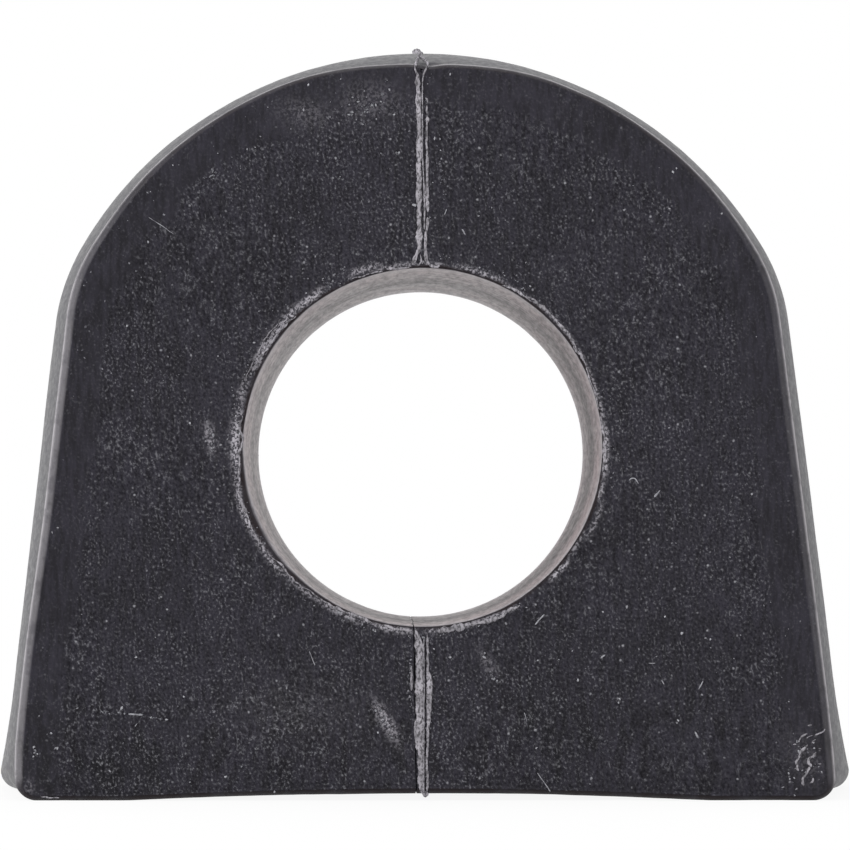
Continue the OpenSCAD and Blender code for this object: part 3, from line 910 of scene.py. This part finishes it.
def face_crumbs(s, side, seed):
    """Places, sizes and paleness of crumbs on one end face: round the bore's rim, beside the seam,
    on the scuffed places, along the trails, along the border of the smooth margin, scattered all
    over, and at the places of the single specks. Scuffs, trails and single specks are the front's."""
    rng = np.random.default_rng(seed)
    rim_count, seam_count, speck_count = CRUMB_COUNTS[side]
    scuffs, trails, specks = (SCUFFS, TRAILS, SPECKS) if side == FRONT else ((), (), ())
    angle = rng.uniform(0, 2 * np.pi, rim_count)
    angle = angle + 0.5 * np.sin(angle - math.radians(30))
    radius = s.bore_radius + (0.3 + rng.gamma(2.0, 0.25, rim_count)) * MM
    groups = [np.stack([np.sin(angle) * radius, s.axis_height - np.cos(angle) * radius], axis=-1)]
    low = rng.uniform(1, 14, seam_count // 2)
    high = rng.uniform(45.5, 61, seam_count - seam_count // 2)
    seam_z = np.concatenate([low, high]) * MM
    seam_x = s.seam_offset - 0.2 * MM + rng.normal(0, 0.5, seam_count) * MM
    groups.append(np.stack([seam_x, seam_z], axis=-1))
    for x, z, wide, tall, lean, count in scuffs:
        spot = rng.normal(0, 0.5, (count, 2)) * (wide, tall)
        spot[:, 0] -= lean * spot[:, 1]
        groups.append((np.array([x, z]) + spot) * MM)
    for x0, z0, x1, z1, spread, count in trails:
        along = rng.uniform(0, 1, (count, 1))
        line = np.array([x0, z0]) + along * np.array([x1 - x0, z1 - z0])
        groups.append((line + rng.normal(0, spread / 2, (count, 2))) * MM)
    x = rng.uniform(-35, 35, 40 * speck_count) * MM
    z = rng.uniform(1, 62, 40 * speck_count) * MM
    border = np.exp(-((margin_depth(s, x, z) / MM - 4.0) / 0.6) ** 2)
    weight = np.where(inside_face(s, x, z), 0.2 + border + 0.25 * (x < 0) * (z > s.axis_height), 0)
    chosen = rng.choice(len(x), speck_count, replace=False, p=weight / weight.sum())
    groups.append(np.stack([x[chosen], z[chosen]], axis=-1))
    spots = np.concatenate(groups)
    spots = spots[inside_face(s, spots[:, 0], spots[:, 1])]
    size = np.exp(rng.normal(math.log(0.05), 0.3, len(spots))) * MM
    pale = 0.12 + 0.7 * rng.uniform(0, 1, len(spots)) ** 2
    named = np.array(specks).reshape(-1, 3) * MM
    spots = np.concatenate([spots, named[:, :2]])
    size = np.concatenate([size, 0.85 * named[:, 2]])
    pale = np.concatenate([pale, rng.uniform(0.7, 1, len(named))])
    sizes = np.stack([size, 0.6 * size, size * rng.uniform(1.0, 1.7, len(spots))], axis=-1)
    places = np.stack([spots[:, 0], np.full(len(spots), side * s.length / 2), spots[:, 1]], axis=-1)
    return places, sizes, pale


# Materials


def rgba(color, gain=1.0):
    """Colour as four numbers, each of the three brightened by the gain."""
    return (color[0] * gain, color[1] * gain, color[2] * gain, 1.0)


class Graph:
    """Node tree of a material or of the world, empty at first. Its methods add nodes and give back
    what comes out of them, and they take sockets and plain values alike."""

    def __init__(self, tree):
        self.tree = tree
        tree.nodes.clear()

    def feed(self, made, inputs):
        """Link each input of a node whose value is a socket, and set the others."""
        for key, value in inputs.items():
            if isinstance(value, bpy.types.NodeSocket):
                self.tree.links.new(value, made.inputs[key])
            else:
                made.inputs[key].default_value = value

    def node(self, kind, inputs=(), **settings):
        """New node with its settings and inputs."""
        made = self.tree.nodes.new(kind)
        for key, value in settings.items():
            setattr(made, key, value)
        self.feed(made, dict(inputs))
        return made

    def math(self, operation, first, *others):
        """Number after an arithmetic step with each of the others in turn."""
        for other in others:
            first = self.node("ShaderNodeMath", {0: first, 1: other}, operation=operation).outputs[0]
        return first

    def add(self, *values):
        """Sum of the values."""
        return self.math("ADD", *values)

    def multiply(self, *values):
        """Product of the values."""
        return self.math("MULTIPLY", *values)

    def highest(self, *values):
        """Largest of the values."""
        return self.math("MAXIMUM", *values)

    def remap(self, value, low, high, to_low=0.0, to_high=1.0):
        """Value mapped from low..high to to_low..to_high, smooth at both ends."""
        made = self.node(
            "ShaderNodeMapRange",
            {"Value": value, "From Min": low, "From Max": high, "To Min": to_low, "To Max": to_high},
            interpolation_type="SMOOTHSTEP",
        )
        return made.outputs["Result"]

    def mix_colors(self, factor, first, second):
        """First colour where the factor is 0, and the second where it is 1."""
        return self.node("ShaderNodeMix", {0: factor, 6: first, 7: second}, data_type="RGBA").outputs[2]

    def mix_numbers(self, factor, first, second):
        """First number where the factor is 0, and the second where it is 1."""
        return self.node("ShaderNodeMix", {0: factor, 2: first, 3: second}).outputs[0]

    def mix_shaders(self, factor, first, second):
        """First shader where the factor is 0, and the second where it is 1."""
        return self.node("ShaderNodeMixShader", {0: factor, 1: first, 2: second}).outputs[0]

    def place(self):
        """Object coordinates."""
        return self.node("ShaderNodeTexCoord").outputs["Object"]

    def vector(self, x, y, z):
        """Vector of three numbers."""
        return self.node("ShaderNodeCombineXYZ", {0: x, 1: y, 2: z}).outputs[0]

    def attribute(self, name):
        """Number that the mesh carries on its points."""
        return self.node("ShaderNodeAttribute", attribute_name=name).outputs["Fac"]

    def stretched(self, coordinates, x=1.0, y=1.0, z=1.0):
        """Coordinates scaled along each axis. A scale below 1 stretches the pattern on them."""
        return self.node("ShaderNodeMapping", {"Vector": coordinates, "Scale": (x, y, z)}).outputs[0]

    def noise(self, coordinates, width, detail=2.0, roughness=0.5):
        """Noise whose blobs are about as wide as given."""
        made = self.node(
            "ShaderNodeTexNoise",
            {"Vector": coordinates, "Scale": 1 / width, "Detail": detail, "Roughness": roughness},
        )
        return made.outputs[0]

    def warped(self, coordinates, width, amount):
        """Coordinates moved by up to half the amount each way, by noise of a width."""
        made = self.node("ShaderNodeTexNoise", {"Vector": coordinates, "Scale": 1 / width})
        offset = self.node(
            "ShaderNodeVectorMath", {0: made.outputs[1], 1: (amount,) * 3, 2: (-amount / 2,) * 3},
            operation="MULTIPLY_ADD",
        )
        moved = self.node("ShaderNodeVectorMath", {0: coordinates, 1: offset.outputs[0]}, operation="ADD")
        return moved.outputs[0]

    def spots(self, flat, pitch, size, share, power=2.0):
        """Small round spots on a plane, each of its own strength: points of a cell pattern nearer
        than a size, on a share of the cells, most of them weak where the power is high."""
        cells = self.node(
            "ShaderNodeTexVoronoi", {"Vector": flat, "Scale": 1 / pitch}, voronoi_dimensions="2D"
        )
        near = self.remap(cells.outputs["Distance"], size / pitch, 0.2 * size / pitch)
        draw = self.node("ShaderNodeSeparateColor", {0: cells.outputs["Color"]})
        strength = self.remap(draw.outputs[0], 1 - share, 1.0)
        return self.multiply(near, self.math("POWER", strength, power))

    def bump(self, height, distance):
        """Normal of a surface raised by the height times the distance."""
        made = self.node("ShaderNodeBump", {"Height": height, "Distance": distance, "Strength": 1.0})
        return made.outputs[0]


def start_material(name):
    """Empty material with a principled shader wired to its output. Returns material, graph, shader."""
    material = bpy.data.materials.new(name)
    material.use_nodes = True
    g = Graph(material.node_tree)
    shader = g.node("ShaderNodeBsdfPrincipled")
    g.node("ShaderNodeOutputMaterial", {"Surface": shader.outputs[0]})
    return material, g, shader


class RubberPatterns:
    """What the rubber's colour, gloss and relief share: the numbers on the mesh, the pebbled grain inside
    a wandering smooth margin with painted shade in its hollows, streaks up the faces and along the walls,
    streaks of dust and painted sheen in the bore, and painted shade along the edges that comes and goes."""

    def __init__(self, g, f):
        self.place = g.place()
        self.x, self.y, self.z = g.node("ShaderNodeSeparateXYZ", {0: self.place}).outputs
        self.from_middle = g.math("ABSOLUTE", self.y, 0.0)
        self.low = g.remap(self.z, 14 * MM, 5 * MM)
        self.bore = g.attribute("bore")
        self.wall = g.attribute("wall")
        self.off_face = g.highest(self.bore, self.wall)
        self.on_face = g.math("SUBTRACT", 1.0, self.off_face)

        wander = g.multiply(g.noise(self.place, 4 * MM, 3.0), 3.0)
        depth = g.math("SUBTRACT", g.attribute("inward"), wander)
        self.grained = g.remap(depth, 0.45 * f.margin / MM, 0.75 * f.margin / MM, 0.3, 1.0)
        self.leaning = g.vector(g.add(self.x, g.multiply(self.z, 0.14)), self.y, g.multiply(self.z, 0.82))
        self.fine = g.noise(self.leaning, f.grain, 3.0, 0.6)
        # Painted shade in the hollows between the pebbles
        self.painted_hollow_shade = g.multiply(g.remap(self.fine, 0.48, 0.36), self.grained)

        upright = g.noise(g.stretched(self.place, z=0.2), 0.4 * MM, 3.0, 0.6)
        lengthwise = g.noise(g.stretched(self.place, y=0.15), 0.5 * MM, 3.0, 0.6)
        self.streaks = g.mix_numbers(self.wall, upright, lengthwise)

        # Streaks in the bore, partly dust and partly painted sheen
        around = g.noise(g.stretched(self.place, x=0.12, z=0.12), 1.2 * MM, 4.0, 0.65)
        along = g.noise(g.stretched(self.place, y=0.12), 0.5 * MM, 3.0, 0.65)
        self.dust_and_sheen = g.add(g.multiply(around, 0.4), g.multiply(along, 0.6))
        dusk = g.add(self.from_middle, g.multiply(g.noise(self.place, 9 * MM, 2.0), 10 * MM))
        self.dusk = g.remap(dusk, 5 * MM, 14 * MM, 0.42, 0.0)

        # Painted shade along the edges, stronger and weaker in patches
        gap = g.remap(g.noise(self.place, 2.2 * MM, 2.0), 0.35, 0.6, 0.35, 0.9)
        self.painted_edge_shade = g.multiply(g.attribute("shaded"), gap)


def face_specks_and_glints(g, p):
    """Pale marks of the faces: painted glints on the grain's pebbles in clusters, fewer of them low on
    the right, round spots of two sizes, and short leaning hairs."""
    clusters = g.remap(g.noise(p.place, 2.4 * MM, 3.0, 0.6), 0.35, 0.65, 0.35, 1.0)
    leftwards = g.remap(p.x, 22 * MM, 2 * MM, -0.1, 0.1)
    gain = g.add(0.26, g.multiply(p.low, leftwards))
    # Painted glints on the tops of the grain's pebbles
    painted_glints = g.multiply(g.remap(p.fine, 0.52, 0.72), clusters, gain)
    loose = g.warped(g.vector(p.x, p.z, 0.0), 0.5 * MM, 0.25 * MM)
    small = g.multiply(g.spots(loose, 1.1 * MM, 0.13 * MM, 0.6), 0.3)
    rare = g.multiply(g.spots(loose, 2.4 * MM, 0.15 * MM, 0.7), 0.55)
    hairs = g.noise(g.stretched(p.leaning, z=0.3), 0.22 * MM, 2.0)
    hairs = g.multiply(g.remap(hairs, 0.66, 0.78, 0.0, 0.26), clusters)
    return g.multiply(g.highest(painted_glints, small, rare, hairs), p.grained, p.on_face)


def bare_color(g, f, p):
    """Colour of the faces and the outer wall: mottled and streaked, with painted shade in the hollows
    between the pebbles, painted shade in upright dimples low on the faces, and pale specks and painted
    glints."""
    mottle = g.noise(p.place, 7 * MM, 4.0, 0.55)
    tone = g.add(g.multiply(mottle, 0.35), g.multiply(p.streaks, 0.65))
    base = g.mix_colors(g.remap(tone, 0.36, 0.64), rgba(f.rubber, 0.55), rgba(f.rubber, 1.45))
    # Painted shade in the hollows between the pebbles
    base = g.mix_colors(g.multiply(p.painted_hollow_shade, 0.45), base, rgba(f.rubber, 0.25))
    # Painted shade in upright dimples low on the faces
    painted_dimple_shade = g.noise(g.stretched(p.place, z=0.4), 1.2 * MM, 2.0)
    painted_dimple_shade = g.multiply(g.remap(painted_dimple_shade, 0.52, 0.62, 0.0, 0.6), p.low, p.on_face)
    base = g.mix_colors(painted_dimple_shade, base, rgba(f.rubber, 0.15))
    # Pale specks, hairs and painted glints, all in the dust colour
    return g.mix_colors(face_specks_and_glints(g, p), base, rgba(f.dust_and_glint))


def bore_color(g, f, p):
    """Colour of the bore's wall: streaks that are partly dust and partly painted sheen, redder in places,
    and darker near mid-length.
    """
    redder = (f.bore_wall[0] * 1.08, *f.bore_wall[1:])
    warm = g.remap(g.noise(g.stretched(p.place, y=0.2), 2.5 * MM, 2.0), 0.4, 0.6)
    pale = g.mix_colors(warm, rgba(f.bore_wall, 2.0), rgba(redder, 1.9))
    # Lighter along streaks that are partly dust and partly painted sheen
    base = g.mix_colors(g.remap(p.dust_and_sheen, 0.32, 0.68), rgba(f.bore_wall, 0.6), pale)
    return g.mix_colors(p.dusk, base, rgba(f.bore_wall, 0.3))


def wear_and_painted_light_color(g, f, p, base):
    """Colour with its wear and painted light: pale where an edge is rubbed and carries a painted highlight,
    pale where rubber is torn, and dark where painted shade lies along the edges.
    """
    broken = g.remap(g.noise(p.place, 1.2 * MM, 3.0, 0.6), 0.3, 0.55, 0.6, 1.0)
    # Pale rubbed edges with their painted highlight
    base = g.mix_colors(g.multiply(g.attribute("rubbed"), broken), base, rgba(f.rubbed))
    ragged = g.remap(g.noise(p.place, 0.24 * MM, 3.0, 0.65), 0.45, 0.6, 0.08, 1.5)
    base = g.mix_colors(g.multiply(g.attribute("torn"), ragged), base, rgba(f.flash, 1.1))
    # Painted shade along the edges, in a dark tone of the bore's colour
    return g.mix_colors(p.painted_edge_shade, base, rgba(f.bore_wall, 0.1))


def rubber_roughness(g, p):
    """Roughness of satin faces, of an outer wall that is duller towards its ends and the right, and
    of a bore that shines along its streaks of dust and painted sheen, and is duller on its right
    and near mid-length."""
    face = g.remap(p.streaks, 0.3, 0.7, 0.42, 0.56)
    duller = g.add(
        g.remap(p.from_middle, 3 * MM, 21 * MM, 0.0, 0.08), g.remap(p.x, 10 * MM, 34 * MM, 0.0, 0.06)
    )
    outer = g.add(g.remap(p.streaks, 0.3, 0.7, 0.31, 0.43), duller)
    duller = g.add(g.remap(p.x, 2 * MM, 14 * MM, 0.0, 0.07), g.multiply(p.dusk, 0.1))
    inner = g.add(g.remap(p.dust_and_sheen, 0.32, 0.68, 0.46, 0.32), duller)
    return g.mix_numbers(p.bore, g.mix_numbers(p.wall, face, outer), inner)


def rubber_material(f):
    """Black moulded rubber: pebbled inside a smooth margin on the faces, with painted glints and
    painted shade in its grain, satin on the walls, dusty with painted sheen in the bore, rubbed lighter
    with a painted highlight along the rims, dark with painted shade along some edges, and pale where it
    is torn."""
    material, g, shader = start_material("moulded_rubber")
    p = RubberPatterns(g, f)
    height = g.add(g.multiply(p.fine, p.grained), g.multiply(p.streaks, 0.6))
    base = g.mix_colors(p.bore, bare_color(g, f, p), bore_color(g, f, p))
    gloss = g.mix_numbers(p.off_face, g.remap(p.painted_hollow_shade, 0.0, 1.0, 0.21, 0.12), 0.3)
    open_share = g.math("SUBTRACT", 1.0, g.multiply(p.painted_edge_shade, 0.6))
    g.feed(shader, {
        "Base Color": wear_and_painted_light_color(g, f, p, base),
        "Roughness": rubber_roughness(g, p),
        "Specular IOR Level": g.multiply(gloss, open_share),
        "Specular Tint": (0.97, 0.94, 1.0, 1.0),
        "Normal": g.bump(height, f.grain_depth),
    })
    return material


def flash_material(f):
    """Thin torn rubber, stretched pale, with dark tears and pits between the pale parts."""
    material, g, shader = start_material("torn_flash")
    place = g.place()
    torn = g.noise(g.stretched(place, z=0.6), 0.2 * MM, 2.0, 0.6)
    slow = g.noise(place, 1.5 * MM, 2.0)
    pale = g.mix_colors(g.remap(slow, 0.3, 0.7), rgba(f.flash, 0.7), rgba(f.flash, 1.15))
    base = g.mix_colors(g.remap(torn, 0.36, 0.58), rgba(f.flash, 0.24), pale)
    g.feed(shader, {
        "Base Color": base, "Roughness": 0.65, "Specular IOR Level": 0.3, "Normal": g.bump(torn, 0.05 * MM),
    })
    return material


def lint_material(f):
    """Pale dust and lint, a little uneven. Crumbs carry their own paleness."""
    material, g, shader = start_material("pale_lint")
    uneven = g.noise(g.place(), 0.5 * MM, 2.0)
    pale = g.multiply(g.attribute("pale"), g.remap(uneven, 0.3, 0.6, 0.5, 1.0))
    base = g.mix_colors(pale, rgba(f.rubber, 2.0), rgba(f.dust_and_glint))
    g.feed(shader, {
        "Base Color": base, "Roughness": 0.8, "Specular IOR Level": 0.2, "Normal": g.bump(uneven, 0.02 * MM),
    })
    return material


def get_material(name, maker, f):
    """The named material, made the first time that it is asked for."""
    return bpy.data.materials.get(name) or maker(f)


# Stage

# Soft lights: name, place and size in metres, and power in watts
LIGHTS = (
    ("key", (-1.0, -0.9, 0.9), 0.7, 14.0), ("fill", (1.1, -0.9, 0.5), 0.8, 8.0),
    ("top", (0.1, 0.2, 1.5), 0.8, 5.0), ("left", (-1.4, 0.15, 0.25), 0.6, 10.0),
)
LIGHT_TARGET = (0.0, 0.0, 0.03)

# The photo's camera: place, tilt upwards and turn to the right in degrees, sensor and lens
CAMERA_PLACE = (-1.90 * MM, -451.1 * MM, 23.24 * MM)
CAMERA_TILT = 1.098
CAMERA_TURN = 0.28
CAMERA_SENSOR = 36.0
CAMERA_LENS = 216.6

# The floor reaches this far, and its shadow fades between two distances from the origin
FLOOR_REACH = 3.0
SHADOW_FADE = (45 * MM, 120 * MM)


def area_light(name, location, size, power):
    """Square soft light at a place, turned so that it looks at the target."""
    light = bpy.data.lights.new(name, "AREA")
    light.size = size
    light.energy = power
    lamp = bpy.data.objects.new(name, light)
    back = unit(np.array(location) - np.array(LIGHT_TARGET))
    side = unit(np.cross((0.0, 0.0, 1.0), back))
    turn = np.column_stack([side, np.cross(back, side), back])
    lamp.matrix_world = Matrix.Translation(location) @ Matrix(turn.tolist()).to_4x4()
    bpy.context.scene.collection.objects.link(lamp)


def seen_directly(g):
    """1 for the camera's rays and for what is mirrored or seen through, and 0 for soft light."""
    path = g.node("ShaderNodeLightPath").outputs
    return g.highest(path["Is Camera Ray"], path["Is Glossy Ray"], path["Is Transmission Ray"])


def build_world():
    """Even soft light, with a plain white background."""
    world = bpy.data.worlds.new("soft_studio")
    world.use_nodes = True
    g = Graph(world.node_tree)
    fill = g.node("ShaderNodeBackground", {"Color": (1, 1, 1, 1), "Strength": 0.45})
    white = g.node("ShaderNodeBackground", {"Color": (1, 1, 1, 1), "Strength": 1.0})
    surface = g.mix_shaders(seen_directly(g), fill.outputs[0], white.outputs[0])
    g.node("ShaderNodeOutputWorld", {"Surface": surface})
    return world


def build_floor():
    """White floor that keeps a faint shadow round the object and runs into the white background."""
    material, g, shader = start_material("white_floor")
    g.feed(shader, {"Base Color": (0.9, 0.9, 0.9, 1.0), "Roughness": 0.9})
    distance = g.node("ShaderNodeVectorMath", {0: g.place()}, operation="LENGTH").outputs["Value"]
    share = g.multiply(seen_directly(g), g.remap(distance, *SHADOW_FADE, 0.9, 1.0))
    glow = g.node("ShaderNodeEmission", {"Color": (1, 1, 1, 1), "Strength": 1.0})
    output = next(n for n in g.tree.nodes if n.type == "OUTPUT_MATERIAL")
    g.feed(output, {"Surface": g.mix_shaders(share, shader.outputs[0], glow.outputs[0])})
    corners = [(x * FLOOR_REACH, y * FLOOR_REACH, 0.0) for x, y in ((-1, -1), (1, -1), (1, 1), (-1, 1))]
    mesh = bpy.data.meshes.new("floor")
    mesh.from_pydata(corners, [], [(0, 1, 2, 3)])
    mesh.materials.append(material)
    floor = bpy.data.objects.new("floor", mesh)
    bpy.context.scene.collection.objects.link(floor)


def build_camera():
    """Long lens on the front face, a little below the axis and turned slightly up and right."""
    data = bpy.data.cameras.new("camera")
    data.sensor_width = CAMERA_SENSOR
    data.lens = CAMERA_LENS
    data.clip_start = 0.01
    camera = bpy.data.objects.new("camera", data)
    camera.location = CAMERA_PLACE
    camera.rotation_euler = (math.radians(90 + CAMERA_TILT), 0.0, math.radians(-CAMERA_TURN))
    bpy.context.scene.collection.objects.link(camera)
    return camera


# Operators and panel


def settings(context):
    """The sizes and the finish that the scene holds."""
    return context.scene.bushing_sizes, context.scene.bushing_finish


class BUSHING_OT_body(Operator):
    """Build the moulding with its bore, split, tapered walls and pebbled faces"""

    bl_idname = "bushing.body"
    bl_label = "Moulding"

    def execute(self, context):
        s, f = settings(context)
        build_body(s, f, get_material("moulded_rubber", rubber_material, f))
        return {"FINISHED"}


class BUSHING_OT_seam(Operator):
    """Build the torn flash along the mould's seam on the faces, the crown and the base"""

    bl_idname = "bushing.seam"
    bl_label = "Seam flash"

    def execute(self, context):
        s, f = settings(context)
        material = get_material("torn_flash", flash_material, f)
        groups = (
            ("front_seam_flash_top", FRONT, TOP_STRIPS, TOP_LINES),
            ("front_seam_flash_bottom", FRONT, BOTTOM_STRIPS, BOTTOM_LINES),
            ("back_seam_flash", BACK, BACK_STRIPS, []),
        )
        for i, (name, side, strips, lines) in enumerate(groups):
            seed = f.seed + SEAM_DRAWS + 10 * i
            beads = face_beads(s, side, strips, STRIP, seed) + face_beads(s, side, lines, LINE, seed + 5)
            build_beads(name, beads, material)
        crown, base = seam_along(s, f.seed + CROWN_DRAWS)
        build_beads("crown_seam_flash", crown, material)
        build_beads("base_seam_flash", base, material)
        return {"FINISHED"}


class BUSHING_OT_rims(Operator):
    """Build the torn ridges round both ends of the bore and the ripples at the corners"""

    bl_idname = "bushing.rims"
    bl_label = "Rim flash"

    def execute(self, context):
        s, f = settings(context)
        material = get_material("torn_flash", flash_material, f)
        for name, side, ridges in (("front", FRONT, RIM_RIDGES), ("back", BACK, RIM_RIDGES[::2])):
            lines = [rim_knots(s, knots) * (-side, 1, 1) for knots in ridges]
            beads = face_beads(s, side, lines, RIDGE, f.seed + RIM_DRAWS)
            build_beads(name + "_bore_rim_flash", beads, material)
        ripples = face_beads(s, FRONT, RIPPLES, RIPPLE, f.seed + RIPPLE_DRAWS)
        build_beads("front_corner_ripples", ripples, material)
        return {"FINISHED"}


class BUSHING_OT_lint(Operator):
    """Build the crumbs of torn rubber, the scuffed places and the lint on the faces"""

    bl_idname = "bushing.lint"
    bl_label = "Crumbs and lint"

    def execute(self, context):
        s, f = settings(context)
        material = get_material("pale_lint", lint_material, f)
        for name, side in (("front", FRONT), ("back", BACK)):
            seed = f.seed + CRUMB_DRAWS[side]
            build_crumbs(name + "_crumbs", *face_crumbs(s, side, seed), seed + 1, material)
        lint = face_beads(s, FRONT, LINT, FIBRE, f.seed + LINT_DRAWS)
        piece = build_beads("front_lint", lint, material)
        pale = piece.data.attributes.new("pale", "FLOAT", "POINT")
        pale.data.foreach_set("value", np.full(len(piece.data.vertices), LINT_PALENESS, np.float32))
        return {"FINISHED"}


class BUSHING_OT_stage(Operator):
    """Set up the floor, the world, the lights and the camera"""

    bl_idname = "bushing.stage"
    bl_label = "Stage"

    def execute(self, context):
        context.scene.world = build_world()
        build_floor()
        for name, location, size, power in LIGHTS:
            area_light(name, location, size, power)
        context.scene.camera = build_camera()
        context.scene.view_settings.view_transform = "Standard"
        return {"FINISHED"}


STEPS = (BUSHING_OT_body, BUSHING_OT_seam, BUSHING_OT_rims, BUSHING_OT_lint, BUSHING_OT_stage)


class BUSHING_PT_panel(Panel):
    """Sizes, finish and steps of the bushing"""

    bl_label = "Bushing"
    bl_idname = "BUSHING_PT_panel"
    bl_space_type = "VIEW_3D"
    bl_region_type = "UI"
    bl_category = "Bushing"

    def draw(self, context):
        for group in settings(context):
            box = self.layout.box()
            for key in group.__annotations__:
                box.prop(group, key)
        for step in STEPS:
            self.layout.operator(step.bl_idname)


CLASSES = (BushingSizes, BushingFinish, *STEPS, BUSHING_PT_panel)


def register():
    """Register the classes and give each scene its sizes and its finish."""
    for item in CLASSES:
        bpy.utils.register_class(item)
    bpy.types.Scene.bushing_sizes = PointerProperty(type=BushingSizes)
    bpy.types.Scene.bushing_finish = PointerProperty(type=BushingFinish)


def unregister():
    """Take back what register did."""
    del bpy.types.Scene.bushing_finish
    del bpy.types.Scene.bushing_sizes
    for item in reversed(CLASSES):
        bpy.utils.unregister_class(item)


def main():
    """Build everything."""
    register()
    bpy.ops.bushing.body()
    bpy.ops.bushing.seam()
    bpy.ops.bushing.rims()
    bpy.ops.bushing.lint()
    bpy.ops.bushing.stage()


if __name__ == "__main__":
    main()
